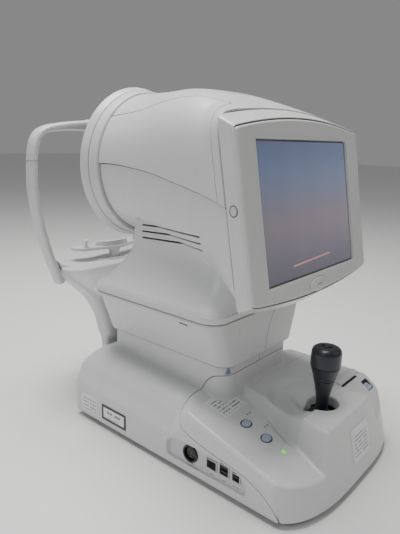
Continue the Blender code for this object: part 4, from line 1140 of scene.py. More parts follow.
class REFRACTION_OT_printer(Operator):
    """Fit the printer lid with its raised front lip, the tear bar and the paper slot"""
    bl_idname = "refraction.printer"
    bl_label = "Printer"

    def execute(self, context):
        low, high = LID
        outline = rounded_box(low.x, high.x, low.y, high.y, 3, 6)
        lid = skin([[(x, y, high.z + lift) for x, y in drawn_in(outline, low, high, inset)] for lift, inset in
                    ((-5.5, 0), (-0.7, 0), (-0.35, 0.12), (-0.1, 0.45), (0, 1.0), (0, 8), (0, 16))])
        lip = softened([(low.y - 3.2, high.z - 7.4), (low.y - 3.4, high.z - 2.2), (low.y + 0.5, high.z + 1.6),
                        (low.y + 5, high.z + 2.4), (low.y + 14, high.z - 0.4), (low.y + 8, high.z - 3),
                        (low.y + 2, high.z - 6)], 2.2, 4)
        bar = skin([[(x, y, z) for y, z in lip]
                    for x in (low.x + 0.5, low.x + 1.2, high.x - 1.2, high.x - 0.5)])
        place("printer_lid_cover", joined(lid, bar), "shell_white", "printer_lid", ("printer_door",),
              facing=True)
        slot = block((low.x + 1, low.y - 3.9, high.z - 9), (high.x - 15, low.y - 0.6, high.z - 4.6), 0.2)
        mouth = skin([[tuple(on_deck(x, y, 0.12)) for x in np.linspace(low.x - 2, high.x - 14, 14)]
                      for y in (low.y - 3.0, low.y - 6.6)], around=False, caps=False)
        bmesh.ops.solidify(mouth, geom=mouth.faces, thickness=0.5)
        place("paper_slot", joined(slot, mouth), "black_plastic", "base", (), facing=True)
        teeth = []
        for k in range(28):
            x = low.x + 2.5 + k * 1.38
            tooth = ((x, high.z - 4.4), (x + 1.3, high.z - 4.4), (x + 0.65, high.z - 3.5))
            teeth.append(skin([[(px, y, z) for px, z in tooth] for y in (low.y - 3.6, low.y - 3.2)]))
        place("tear_teeth", joined(*teeth), "steel", "base", (), facing=True)
        return {"FINISHED"}


class REFRACTION_OT_power_inlet(Operator):
    """Fit the mains inlet with its three blades, and the rocker switch"""
    bl_idname = "refraction.power_inlet"
    bl_label = "Power Inlet"

    def execute(self, context):
        low, high = box_of("power_inlet")
        rim = []
        outer = rounded_box(low.x - 0.2, high.x + 0.2, low.z - 0.2, high.z + 0.2, 3, 6)
        middle = (low + high) / 2
        for y, shrink in ((high.y - 3, 0), (high.y + 0.1, 0), (high.y + 0.4, 0.4), (high.y + 0.4, 1.4),
                          (high.y - 0.2, 2.0), (high.y - 3, 2.0)):
            rim.append([(middle.x + (x - middle.x) * (1 - shrink / (high.x - middle.x)), y,
                         middle.z + (z - middle.z) * (1 - shrink / (high.z - middle.z))) for x, z in outer])
        place("inlet_rim", hoop(rim), "black_plastic", "base", (), facing=True)
        dress("power_inlet", "black_plastic")
        blades = []
        for x, z in ((-5, 30), (5, 30), (0, 33.5)):
            spot = middle.x + x
            blades.append(block((spot - 1.0, high.y - 11.4, z - 2.0),
                                (spot + 1.0, high.y - 3.4, z + 2.0), 0.3))
        place("inlet_blades", joined(*blades), "steel", "base", (), facing=True)
        low, high = box_of("power_rocker")
        side = softened([(high.y - 5, low.z), (high.y, low.z), (high.y - 1.5, (low.z + high.z) / 2),
                         (high.y - 0.5, high.z), (high.y - 5, high.z)], 0.7, 4)
        inset = 0.4
        rows = []
        for x, shrink in ((low.x, 0.05), (low.x + inset, 0), (high.x - inset, 0), (high.x, 0.05)):
            rows.append([(x, y - shrink * 5, z) for y, z in side])
        place("rocker_cap", skin(rows), "black_plastic", "rocker", ("power_rocker",),
              facing=True)
        return {"FINISHED"}


# ---- lift ----------------------------------------------------------------------------------------
def rounded_rows(table, count, radius_steps=10):
    """Rings of rounded rectangles from rows of (level, half width, front, rear, corner radius)."""
    levels = np.array([row[0] for row in table])
    wanted = evenly([(row[0],) for row in table], count, closed=False)[:, 0]
    columns = [eased([(row[0], row[k]) for row in table], wanted) for k in (1, 2, 3, 4)]
    rings = []
    for level, half, front, rear, radius in zip(wanted, *columns):
        rings.append([(x, y, level) for x, y in rounded_box(-half, half, front, rear, radius, radius_steps)])
    return rings if levels[0] < levels[-1] else rings[::-1]


def ring_outline(half, front, rear):
    return rounded_box(-half, half, front, rear, 20, 8)


class REFRACTION_OT_lift_skirt(Operator):
    """Mould the flared skirt and the flat lip that the head slides on"""
    bl_idname = "refraction.lift_skirt"
    bl_label = "Lift Skirt"

    def execute(self, context):
        low, high = SKIRT
        lip_half, lip_front, lip_rear = high.x, low.y, high.y
        flare = [(low.z, 84, -98, 131, 22), (140, 88, -97.6, 131, 22), (155, 94, -97.2, 130.8, 22),
                 (170, 100, -96.4, 130.5, 22), (184, 104.5, -95.8, 130.2, 22), (190, 106, -95.5, 130, 22)]
        rings = rounded_rows(flare, 34)
        foot = rings[0]
        inner = []
        for drop, inset in ((12, 3.0), (0.6, 3.0), (0, 2.4), (0, 0.8)):
            inner.append([(x * (1 - inset / 84), y * (1 - inset / 110) + 0.15 * inset, low.z + drop)
                          for x, y, z in foot])
        rings[0] = [(x, y, z + 0.5) for x, y, z in foot]
        skirt = skin(inner + rings)
        place("skirt_cover", skirt, "shell_white", "lift", ("lift_skirt",), facing=True)
        widths = [(row[0], row[1]) for row in flare]
        slot = skin([[(-float(eased(widths, level)) - 0.05, y, level + 0.04 * (y + 40))
                      for y in np.linspace(-50, -30, 8)] for level in (183.2, 182.3, 181.4)],
                    around=False, caps=False)
        bmesh.ops.solidify(slot, geom=slot.faces, thickness=0.5)
        place("skirt_slot", slot, "joint_dark_and_shade", "lift", (), facing=True)
        shelf = []
        for level, inset in ((190.1, 1.6), (190.3, 0.6), (191.0, 0.05), (194.0, 0), (194.6, 0.3), (195, 1.2),
                             (195, 20), (195, 60)):
            outline = rounded_box(-lip_half + inset, lip_half - inset, lip_front + inset, lip_rear - inset,
                                  max(25 - inset, 4), 12)
            shelf.append([(x, y, level) for x, y in outline])
        place("skirt_lip", skin(shelf), "shell_white", "lift", (), facing=True)
        # painted shadow: dark strips just below the skirt's foot and between the lip and the head's flange
        self.shade_strip(ring_outline(83.0, -97.0, 129.4), ring_outline(80.0, -93.0, 127.0), low.z + 0.7,
                  "skirt_shade_strip")
        self.shade_strip(ring_outline(lip_half - 6, lip_front + 6, lip_rear - 6), ring_outline(90, -80, 112),
                  196.0, "lip_shade_strip")
        seam = []
        for k in range(25):
            level = 132 + k * 57 / 24
            x = 6 + 26 * (k / 24) ** 2.2
            y = float(eased([(row[0], row[2]) for row in flare], level)) - 0.05
            seam.append((x, y, level))
        section = [(-0.35, -0.06), (0.35, -0.06), (0.35, 0.06), (-0.35, 0.06)]
        line = sweep(seam, section, np.array((0, -1.0, 0)))
        place("skirt_seam", line, "joint_dark_and_shade", "lift", ())
        return {"FINISHED"}

    def shade_strip(self, outer, inner, top, name):
        """A flat dark strip in the gap round a cover: painted shade where the gap's shadow falls."""
        rows = [[(x, y, z) for x, y in line] for line, z in
                ((outer, top - 1.2), (outer, top), (inner, top), (inner, top - 1.2))]
        place(name, hoop(rows), "joint_dark_and_shade", "lift", (), facing=True)


# ---- measuring head ------------------------------------------------------------------------------
DRUM_ROWS = [(122, 101, 470, 268, 2.0, 0.0), (70, 103.5, 471, 266, 2.15, 0.0), (20, 109, 473, 262, 2.5, 0.02),
             (-30, 116, 469, 256, 3.0, 0.06), (-75, 121.5, 459, 244, 3.8, 0.12),
             (-100, 127.5, 452, 233, 6.5, 0.16), (-118, 134, 446.5, 228, 11.0, 0.183)]
FLANGE_HALF, FLANGE_FRONT, FLANGE_REAR = 118, -105, 126   # the flat foot that slides on the skirt's lip
NECK_ROWS = [(205, FLANGE_HALF, FLANGE_FRONT, FLANGE_REAR, 25), (207.5, 116, -104, 124, 25),
             (215, 108, -102, 117, 25), (228, 98, -101, 106, 25), (244, 90, -100, 94, 25),
             (262, 85, -100, 85, 24), (300, 84, -95, 80, 22)]
VENT_TOP, VENT_PITCH, VENT_HALF = 294.0, 8.6, 1.45      # slots in the neck: heights, and half a slot's width
VENT_FRONT, VENT_REAR, VENT_RISE = -74, 53, 0.042       # where they start and stop along Y, and their slope
BELT = [(-200, 321), (-97, 346), (-41, 357), (17, 367), (60, 371), (93, 373), (118, 372.5), (200, 366)]


def drum_rows(inset, stations, count=288):
    """Rings of the head's drum: round at the patient's end, a soft box at the operator's end."""
    columns = [eased([(row[0], row[k]) for row in DRUM_ROWS], stations) for k in range(1, 6)]
    rings = []
    for y, half, top, bottom, power, lean in zip(stations, *columns):
        middle = (top + bottom) / 2
        tall = (top - bottom) / 2 - inset
        bow = 11.5 * float(ramp(-y, 55, 116))
        ring = []
        for i in range(count):
            angle = 2 * math.pi * i / count
            c, s = math.cos(angle), math.sin(angle)
            swell = (abs(c) ** power + abs(s) ** power) ** (-1 / power)
            z = middle + tall * s * swell - bow * max(0.0, s) * (c * swell) ** 2
            ring.append(((half - inset) * c * swell, y + lean * (z - AXIS_Z), z))
        rings.append(ring)
    return rings


def belt_level(y):
    return eased(BELT, y)


def panel_edge(z):
    """Operator-side edge of the side panels, as Y for a height."""
    return eased([(229, -129), (310, -116.5), (347, -109), (411, -96), (442, -87.5), (480, -80)], z)


class REFRACTION_OT_head_lower(Operator):
    """Mould the head's lower cover: neck, sliding flange and the drum's underside with its vents"""
    bl_idname = "refraction.head_lower"
    bl_label = "Head Lower Cover"

    def execute(self, context):
        sizes = context.scene.refraction_head
        stations = np.concatenate([[122.0], np.arange(118, -119, -4.0)])
        drum = skin(drum_rows(1.6, stations, 160))
        neck = skin(rounded_rows(NECK_ROWS, 40))
        lower = melted([drum, neck], sizes.voxel / MM, 6)
        trimmed(lower, lambda p: belt_level(p[:, 1]) - 1.5 - p[:, 2])
        trimmed(lower, lambda p: p[:, 2] - 206.6)
        trimmed(lower, lambda p: 121.4 - p[:, 1])
        for k in range(sizes.vent_count):
            top = VENT_TOP - VENT_PITCH * k

            def away_from_vent(p):
                level = top + VENT_RISE * (VENT_REAR - p[:, 1])
                u = np.clip(p[:, 1], VENT_FRONT, VENT_REAR)
                return np.hypot(p[:, 1] - u, p[:, 2] - level) - VENT_HALF

            trimmed(lower, away_from_vent)
        hemmed(lower, ((0.2, 0.08), (0.38, 0.35), (0.42, 0.8), (0.42, 1.6)))
        place("neck_shell", lower, "shell_white", "head", ("neck_cover",))
        flange = []
        for level, inset in ((196.6, 4), (196.6, 1.2), (197.0, 0.5), (197.8, 0.05), (204.0, 0), (204.9, 0.25),
                             (205.6, 0.9), (206.3, 1.9), (207.4, 2.6)):
            outline = rounded_box(inset - FLANGE_HALF, FLANGE_HALF - inset, FLANGE_FRONT + inset,
                                  FLANGE_REAR - inset, 25 - inset * 0.5, 12)
            flange.append([(x, y, level) for x, y in outline])
        place("neck_flange", skin(flange), "shell_white", "head", (), facing=True)
        # painted shade: a dark inner drum and core darken what shows through the vents and seams
        lining = skin(drum_rows(5.0, np.linspace(110, -100, 20), 96))
        core = skin([[(x, y, z) for x, y in rounded_box(-78, 78, -88, 72, 20, 8)] for z in (212, 300)])
        place("head_shade_lining", joined(lining, core), "joint_dark_and_shade", "head", (), facing=True)
        return {"FINISHED"}


class REFRACTION_OT_head_covers(Operator):
    """Mould the roof and both side panels of the head, with the roof vent"""
    bl_idname = "refraction.head_covers"
    bl_label = "Head Covers"

    def execute(self, context):
        sizes = context.scene.refraction_head
        line = sizes.panel_line / MM
        stations = np.concatenate([[122.0], np.arange(120, -118, -1.6), [-118.0]])
        whole = skin(drum_rows(0.0, stations), caps=False)
        bmesh.ops.recalc_face_normals(whole, faces=whole.faces)
        trimmed(whole, lambda p: p[:, 2] - belt_level(p[:, 1]) - 0.2)

        def within_panel(p, side):
            behind = p[:, 1] - panel_edge(p[:, 2])
            outside = side * p[:, 0] - line
            return lower_of(behind, outside, 9.0)

        for side, word in ((-1, "left"), (1, "right")):
            panel = trimmed(whole.copy(), lambda p: within_panel(p, side) - SEAM)
            hemmed(panel, ROLLED)
            place(f"side_panel_{word}", panel, "shell_white", "head", (f"head_side_{word}",))
        roof = whole
        for side in (-1, 1):
            trimmed(roof, lambda p: -within_panel(p, side) - SEAM)
        slots, first, pitch, reach, half_slot = 6, -44, 9, 34, 1.5
        for k in range(slots):
            middle = first + pitch * k

            def away_from_slot(p):
                u = np.clip(p[:, 0], -reach, reach)
                return np.where(p[:, 2] > 400, np.hypot(p[:, 0] - u, p[:, 1] - middle) - half_slot, 5.0)

            trimmed(roof, away_from_slot)
        hemmed(roof, ROLLED)
        place("roof_shell", roof, "shell_white", "head", ("roof_cover",))
        return {"FINISHED"}


class REFRACTION_OT_face_disc(Operator):
    """Turn the patient's side of the head: both rings, the lit ring target and the lens"""
    bl_idname = "refraction.face_disc"
    bl_label = "Face Disc"

    def execute(self, context):
        rim = context.scene.refraction_head.disc_rim / MM
        centre, back = (0.0, 0.0, AXIS_Z), TO_PATIENT
        outer = FACE_RING[1].x
        joint, rear, front = FACE_RING[0].y, FACE_RING[1].y, INNER_RING[0].y
        inner_ring = [(97, front), (103, front), (104.4, front + 1.2), (106.2, joint - 2.4),
                      (106.5, joint - 0.9), (105.8, joint - 0.4), (97, joint - 0.4)]
        place("disc_inner", lathe(softened(inner_ring, 0.6, 3), centre, back, 192), "shell_white", "head",
              ("disc_inner_ring",))
        face = [(84, joint + 0.4), (outer - 4.5, joint + 0.4), (outer - 3.9, joint + 1.0),
                (outer, rear - rim), (outer - rim, rear), (90, rear), (84, rear - 3)]
        place("disc_face", lathe(softened(face, 0.7, 4), centre, back, 192), "shell_white", "head",
              ("disc_face_ring",))
        cone = [(83.5, rear - 4), (80, rear - 4.6), (62, rear - 8.5), (40, rear - 14), (24, rear - 21),
                (24, rear - 24), (41, rear - 17), (63, rear - 11), (83.5, rear - 7)]
        place("ring_cone", lathe(softened(cone, 0.5, 2), centre, back, 128), "cone_black", "head",
              ("ring_target_cone",))
        lights = []
        for radius in (30, 37.5, 45.5, 54, 63, 72.5):
            depth = rear - float(eased([(24, 21), (40, 14), (62, 8.5), (83.5, 4)], radius))
            section = [(radius - 1.1, depth - 1.2), (radius - 0.9, depth + 0.35), (radius, depth + 0.6),
                       (radius + 0.9, depth + 0.5), (radius + 1.1, depth - 1.0)]
            lights.append(lathe(softened(section, 0.3, 2), centre, back, 128))
        place("ring_lights", joined(*lights), "ring_light", "head", ())
        low, high = box_of("objective_lens")
        curve = [(radius, high.y - radius ** 2 / 58.0) for radius in np.linspace(0.0, high.x, 12)]
        glass = [(0, low.y)] + [(high.x, low.y + 1)] + [(float(r), float(h)) for r, h in curve[::-1]]
        place("lens", lathe(glass, centre, back, 64), "lens_glass", "head", ("objective_lens",), facing=True)
        bezel = [(high.x - 0.5, high.y - 5), (23.6, high.y - 5), (23.6, high.y + 0.8), (22.4, high.y + 1.4),
                 (high.x - 0.2, high.y - 1.6)]
        place("lens_bezel", lathe(softened(bezel, 0.3, 2), centre, back, 96), "black_plastic", "head", (),
              facing=True)
        joint_mark = skin([[(x, y, AXIS_Z + math.sqrt((outer + 0.1) ** 2 - x * x)) for x in (-0.4, 0.4)]
                           for y in np.linspace(joint + 1, rear - 1.5, 6)], around=False, caps=False)
        bmesh.ops.solidify(joint_mark, geom=joint_mark.faces, thickness=0.5)
        place("disc_joint_line", joint_mark, "joint_dark_and_shade", "head", (), facing=True)
        return {"FINISHED"}


# ---- display -------------------------------------------------------------------------------------
KEY_LEVEL = -93                                  # print key under the screen, from the display's middle
KEY_HALF_WIDE, KEY_HALF_TALL, KEY_GAP = 21.0, 8.5, 0.9


def display_line(half, share):
    """Front view of the display, bowed above and below, from its face (share 0) to its rear (share 1)."""
    half = half - 5.5 * share               # the sides draw in towards the rear
    top = 103.4 + 15.6 * share              # while top and bottom spread
    low = -102.0 - 14.3 * share
    rise = 7.0 + 5.6 * share                # how far the bottom edge bows up at its ends
    points = [(x, top - 12.0 * (x / 134) ** 2) for x in np.linspace(half - 6, 6 - half, 25)]
    points += [(-half, top - 13.2), (-half, low + rise + 3)]
    points += [(x, low + rise * (x / 122) ** 2) for x in np.linspace(9 - half, half - 9, 25)]
    points += [(half, low + rise + 3), (half, top - 13.2)]
    return softened(points, 7, 10)


def along_rays(outline, angles):
    """Distance from the centre to a convex outline for each angle."""
    points = np.array(outline, float)
    following = np.roll(points, -1, 0)
    found = []
    for angle in angles:
        c, s = math.cos(angle), math.sin(angle)
        run = following - points
        cross = c * run[:, 1] - s * run[:, 0]
        cross = np.where(np.abs(cross) < 1e-12, 1e-12, cross)
        distance = (points[:, 0] * run[:, 1] - points[:, 1] * run[:, 0]) / cross
        at = (points[:, 0] * s - points[:, 1] * c) / cross
        good = (at >= -1e-6) & (at <= 1 + 1e-6) & (distance > 0)
        found.append(distance[good].max())
    return np.array(found)


class REFRACTION_OT_display(Operator):
    """Build the tilted display: case, bowed bezel, lit screen, print key and side cap"""
    bl_idname = "refraction.display"
    bl_label = "Display"

    def execute(self, context):
        sizes = context.scene.refraction_display
        self.half = sizes.half / MM
        low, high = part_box("lcd_panel")
        tilt = sizes.tilt
        middle = (low + high) / 2 / MM
        self.turn = Matrix.Rotation(-tilt, 3, "X")
        self.centre = middle - self.turn @ Vector((0, 6.0, 0))
        window = (sizes.width / MM / 2, sizes.height / MM / 2)
        corners = [math.atan2(sz * window[1], sx * window[0]) for sx in (-1, 1) for sz in (-1, 1)]
        even = np.linspace(-math.pi, math.pi, 720, endpoint=False)
        self.angles = np.array(sorted(set(even) | set(corners)))
        self.depth = sizes.depth / MM
        self.outer = self.reach_at(0)
        opening = rounded_box(-window[0], window[0], -window[1], window[1], 2.0, 4)
        self.window = along_rays(opening, self.angles)
        self.bezel(sizes.edge / MM)
        self.case()
        self.screen(*window)
        self.key()
        return {"FINISHED"}

    def reach_at(self, depth):
        return along_rays(display_line(self.half, depth / self.depth), self.angles)

    def lean(self, bm):
        bmesh.ops.transform(bm, matrix=Matrix.Translation(self.centre) @ self.turn.to_4x4(), verts=bm.verts)
        return bm

    def ring(self, reach, depth):
        return [(r * math.cos(a), depth, r * math.sin(a)) for r, a in zip(reach, self.angles)]

    def bezel(self, edge):
        back = 8.0
        rim = self.outer - 0.5
        rows = [self.ring(rim - 4, back), self.ring(rim - 0.6, back), self.ring(rim - 0.4, 4.0)]
        for k in range(9):
            angle = math.pi / 2 * k / 8
            rows.append(self.ring(rim - edge * (1 - math.cos(angle)), edge * (1 - math.sin(angle))))
        flat_from = rim - edge
        for k in range(1, 12):
            part = k / 12
            sink = 0.5 * ramp(part, 0.75, 1.0)
            rows.append(self.ring(flat_from + (self.window + 2.2 - flat_from) * part, float(sink)))
        rows += [self.ring(self.window + 1.9, 0.8), self.ring(self.window + 0.9, 2.6),
                 self.ring(self.window + 0.6, 6.5)]
        bm = skin(rows, caps=False)
        bmesh.ops.recalc_face_normals(bm, faces=bm.faces)
        wide, tall = KEY_HALF_WIDE + KEY_GAP, KEY_HALF_TALL + KEY_GAP
        trimmed(bm, lambda p: np.where(p[:, 1] < 3,
                                       (np.hypot(p[:, 0] / wide, (p[:, 2] - KEY_LEVEL) / tall) - 1) * 9, 9.0))
        hemmed(bm, ((0.25, 0.1), (0.5, 0.45), (0.55, 1.0), (0.55, 5.5)),
               lambda p: abs(p.z - KEY_LEVEL) < 12 and abs(p.x) < 25)
        place("bezel", self.lean(bm), "bezel_grey", "head", ("display_bezel",))

    def case(self):
        """Side walls that taper and deepen from a lip round the bezel to the head's front frame."""
        deep = self.depth

        def loop(depth, inset=0.0, scale=1.0):
            line = []
            for x, z in display_line(self.half, depth / deep):
                keep = scale * (1 - inset / math.hypot(x, z))
                line.append((x * keep, depth, z * keep))
            return line

        rows = [loop(deep, 0.2, 0.3), loop(deep, 0.2, 0.8), loop(deep, 2.5), loop(deep - 0.1, 1.0),
                loop(deep - 0.45, 0.3)]
        rows += [loop(depth) for depth in (deep - 1.1, *np.linspace(deep - 4, 5.5, 8))]
        rows += [loop(4.2, -0.9), loop(3.5, -0.75), loop(3.0, -0.4), loop(2.8, 0), loop(3.4, 0.1),
                 loop(8.6, 0.2), loop(8.6, 9)]
        place("display_shell", self.lean(skin(rows)), "shell_white", "head", ("display_case",), facing=True)
        profile = [(0, -1.3), (3.6, -1.2), (4.6, -0.8), (5.2, 0.0), (5.4, 0.9), (5.4, 3)]
        inward = (0.98, -0.2, 0)        # the side wall tapers, so the cap leans with it
        cap = lathe(softened(profile + [(0, 3)], 0.4, 3, closed=False),
                    (-self.half + 3.3, 16.0, 8.0), inward, 48)
        gap = lathe([(5.3, -0.2), (6.3, -0.12), (6.3, 2), (5.3, 2)],
                    (-self.half + 3.0, 16.0, 8.0), inward, 48)
        place("side_cap", self.lean(cap), "bezel_grey", "head", (), facing=True)
        place("side_cap_joint", self.lean(gap), "joint_dark_and_shade", "head", (), facing=True)

    def screen(self, half_x, half_z):
        line = rounded_box(-half_x - 0.6, half_x + 0.6, -half_z - 0.6, half_z + 0.6, 1.2, 3)
        back = plate(line, 4.2, 8.5, "Y", 0.2, 1)
        place("screen_border", self.lean(back), "tongue_dark", "head", (), facing=True)
        inset = 1.6
        rows = [[(x, 3.9, z) for x in np.linspace(-half_x + inset, half_x - inset, 14)]
                for z in np.linspace(half_z - inset, inset - half_z, 12)]
        glass = skin(rows, around=False, caps=False)
        sheet = glass.loops.layers.uv.new("UVMap")
        for face in glass.faces:
            for loop in face.loops:
                place_at = loop.vert.co
                loop[sheet].uv = ((place_at.x + half_x) / (2 * half_x), (place_at.z + half_z) / (2 * half_z))
        place("screen", self.lean(glass), "screen_glass", "head", ("lcd_panel",))

    def key(self):
        rows = []
        for scale, depth in ((0.5, -1.75), (0.8, -1.5), (0.93, -1.0), (0.985, -0.4), (1.0, 0.4), (1.0, 6.0)):
            rows.append([(KEY_HALF_WIDE * scale * math.cos(a), depth,
                          KEY_LEVEL + KEY_HALF_TALL * scale * math.sin(a))
                         for a in np.linspace(0, 2 * math.pi, 72, endpoint=False)])
        place("print_key_cap", self.lean(skin(rows)), "bezel_grey", "print_key", ("print_button",),
              facing=True)
        bar = plate(rounded_box(-7, 7, KEY_LEVEL - 0.8, KEY_LEVEL + 0.8, 0.7, 3), -1.95, -1.6, "Y", 0.05, 1)
        place("print_key_mark", self.lean(bar), "print_grey", "print_key", (),
              facing=True)


# ---- patient side --------------------------------------------------------------------------------
ARCH_LINE = [(106.5, 184), (113, 202), (121, 222), (129, 246), (138.5, 284), (145, 325), (145.5, 350),
             (143.5, 378), (139.5, 398), (131, 411), (117, 417), (84, 421), (43, 423)]


def arch_centre_line():
    right = ARCH_LINE + [(0, 424)]
    whole = right + [(-x, z) for x, z in reversed(ARCH_LINE)]
    return evenly(softened(whole, 14, 6, closed=False), 220, closed=False)


class REFRACTION_OT_forehead_arch(Operator):
    """Sweep the forehead arch, with its eye-level marks and the soft forehead pad"""
    bl_idname = "refraction.forehead_arch"
    bl_label = "Forehead Arch"

    def execute(self, context):
        sizes = context.scene.refraction_patient
        line = arch_centre_line()
        middle = (ARCH[0].y + ARCH[1].y) / 2
        half = sizes.arch_width / MM / 2
        deep = sizes.arch_depth / MM / 2
        path = [(x, middle, z) for x, z in line]

        def section(at):
            crown = 1.0 - min(1.0, abs(line[min(len(line) - 1, round(at * (len(line) - 1)))][0]) / 120.0)
            points = []
            for k in range(28):
                angle = 2 * math.pi * k / 28
                c, s = math.cos(angle), math.sin(angle)
                u = (half + 5.0 * crown) * math.copysign(abs(c) ** 0.62, c)
                v = (deep - 3.0 * crown) * math.copysign(abs(s) ** 0.62, s)
                points.append((v, u))
            return points

        across = np.array((0.0, 1.0, 0.0))
        rows = []
        for i, point in enumerate(path):
            before, after = path[max(0, i - 1)], path[min(len(path) - 1, i + 1)]
            along = np.array(after) - np.array(before)
            along /= np.linalg.norm(along)
            out = np.cross(along, across)
            rows.append([tuple(np.array(point) + across * v + out * u)
                         for v, u in section(i / (len(path) - 1))])
        place("arch", skin(rows), "shell_white", "base", ("forehead_arch",), facing=True)
        marks = []
        for side in (-1, 1):
            x = side * 144.3
            band = rounded_box(x - half - 0.15, x + half + 0.15,
                               middle - deep - 0.15, middle + deep + 0.15, 3.6, 5)
            marks.append(plate(band, 371.4, 372.2, "Z", 0.1, 1))
        place("eye_level_marks", joined(*marks), "print_grey", "base", (), facing=True)
        self.pad(middle + deep - 3.0)
        return {"FINISHED"}

    def pad(self, face):
        """Forehead pad: a soft moulded strip, fuller in the middle, with a rolled edge."""
        rows = []
        for x in np.linspace(-46, 46, 47):
            end = min(1.0, (46.01 - abs(x)) / 7.0)
            round_end = math.sqrt(max(0.0, 1 - (1 - end) ** 2))
            thick = 1.2 + 4.6 * round_end + 0.6 * math.cos(x / 46 * math.pi / 2)
            tall = 4.0 + 5.0 * round_end
            ring = []
            for k in range(20):
                angle = 2 * math.pi * k / 20
                c, s = math.cos(angle), math.sin(angle)
                y = face - 1 + (thick * 0.5) + thick * 0.5 * math.copysign(abs(c) ** 0.7, c)
                z = 424 - 0.0006 * x * x + tall * math.copysign(abs(s) ** 0.8, s)
                ring.append((x, min(y, ARCH[1].y + 3.0), z))
            rows.append(ring)
        pad = place("forehead_cushion", skin(rows), "pad_white", "base", ("forehead_pad",),
                    facing=True)


class REFRACTION_OT_chin_rest(Operator):
    """Mould the chin rest support, its lifting stem, the lobed plate and the tissue pins"""
    bl_idname = "refraction.chin_rest"
    bl_label = "Chin Rest"

    def execute(self, context):
        sizes = context.scene.refraction_patient
        self.support()
        low, high = STEM
        axis = UP
        foot = ((low.x + high.x) / 2, (low.y + high.y) / 2, 0)
        stem = [(0, low.z), (8.5, low.z), (8.5, high.z - 9), (8.9, high.z - 7), (11, high.z - 2.2),
                (13, high.z - 0.3), (0, high.z - 0.3)]
        place("stem", lathe(softened(stem, 1.0, 4, closed=False), foot, axis, 64), "pin_white",
              "chin_rest", ("chin_stem",))
        collar = [(8.9, 208.5), (13.5, 208.5), (14.2, 209.6), (13.6, 211.0), (11, 211.9), (9.4, 211.9),
                  (8.9, 211)]
        place("stem_collar", lathe(softened(collar, 0.5, 3), foot, axis, 64), "shell_white", "base", ())
        self.plate(sizes)
        return {"FINISHED"}

    def support(self):
        """The curved bracket that carries the chin rest and the arch."""
        table = [(58, 78, 138.6, 150, 4), (100, 79, 138.6, 154, 5), (112, 80, 133, 160, 6),
                 (138, 83, 140, 168, 8), (165, 91, 146, 184, 10), (178, 97, 152, 206, 14),
                 (188, 104, 160, 226, 22),
                 (200, 109, 170, 245, 30), (206.5, 109, 174, 249, 30)]
        rings = rounded_rows(table, 60)
        half, front, rear = table[-1][1:4]
        for level, inset in ((208.0, 0.7), (208.8, 1.8), (209.0, 3.2), (209.0, 12), (209.0, 28)):
            outline = rounded_box(inset - half, half - inset, front + inset, rear - inset,
                                  max(30 - inset, 6), 10)
            rings.append([(x, y, level) for x, y in outline])
        body = skin(rings)
        place("rest_bracket", body, "shell_white", "base", ("chin_rest_support",),
              facing=True)
        low, high = STEM
        centre = ((low.x + high.x) / 2, (low.y + high.y) / 2)
        oval = [(centre[0] + 36 * math.cos(a), centre[1] + 2 + 19 * math.sin(a))
                for a in np.linspace(0, 2 * math.pi, 72, endpoint=False)]
        place("bracket_pad", plate(oval, 208.6, 210.4, "Z", 0.8, 4), "shell_white", "base", ())
        gussets = []
        for side in (-1, 1):
            ear = [(106.9, 205.5), (112.5, 217.5), (113.8, 221.0), (109.0, 214.5), (101.0, 210.2),
                   (90, 208.2)]
            ear = softened([(side * x, z) for x, z in ear], 1.2, 3)
            gussets.append(plate(ear, ARCH[0].y + 0.4, ARCH[1].y - 0.4, "Y", 1.6, 4))
        place("bracket_ears", joined(*gussets), "shell_white", "base", (), facing=True)

    def plate(self, sizes):
        """The lobed chin plate with its raised curved wall, and the pins that hold the tissues."""
        top = sizes.plate_top / MM
        middle_y = (STEM[0].y + STEM[1].y) / 2 + 8
        outline = []
        for k in range(120):
            angle = 2 * math.pi * k / 120
            c, s = math.cos(angle), math.sin(angle)
            reach = 70 * math.copysign(abs(c) ** 0.72, c)
            lobes = 14.5 + 5.5 * math.cos(2 * math.pi * min(1.0, abs(reach) / 70)) * 0.6 + 4
            outline.append((reach, middle_y + 14 * (reach / 70) ** 2
                            + lobes * math.copysign(abs(s) ** 0.8, s)))
        disc = plate(outline, top - 6.2, top, "Z", 2.4, 6)
        wall = []
        for t in np.linspace(-1, 1, 41):
            angle = t * math.radians(78)
            ends = math.sqrt(max(0.02, 1 - abs(t) ** 6))
            out = Vector((math.sin(angle), -math.cos(angle), 0))
            centre = Vector((0, middle_y + 6, 0)) + Vector((out.x * 32, out.y * 24, 0))
            section = [(-1.4, -2), (1.6, -2), (1.9, 4 * ends), (2.6, 8.0 * ends), (1.8, 8.8 * ends),
                       (0.4, 8.9 * ends), (-0.8, 7.6 * ends), (-1.6, 3 * ends)]
            wall.append([tuple(centre + out * u + Vector((0, 0, top + v))) for u, v in section])
        cup = skin(wall)
        place("chin_plate", joined(disc, cup), "pin_white", "chin_rest", ("chin_rest_plate",),
              facing=True)
        for side, word in ((-1, "left"), (1, "right")):
            foot = (side * sizes.pin_space / MM / 2, middle_y, 0)
            pin = [(0, top - 8), (1.2, top - 7.6), (2.0, top - 6.6), (2.0, top + 9), (2.6, top + 9.4),
                   (5.2, top + 9.7), (5.5, top + 10.6), (5.1, top + 11.8), (3.4, top + 12.4), (0, top + 12.6)]
            place(f"paper_pin_{word}", lathe(softened(pin, 0.5, 3, closed=False), foot, UP, 40),
                  "pin_white", f"pin_{word}", (f"tissue_pin_{word}",))


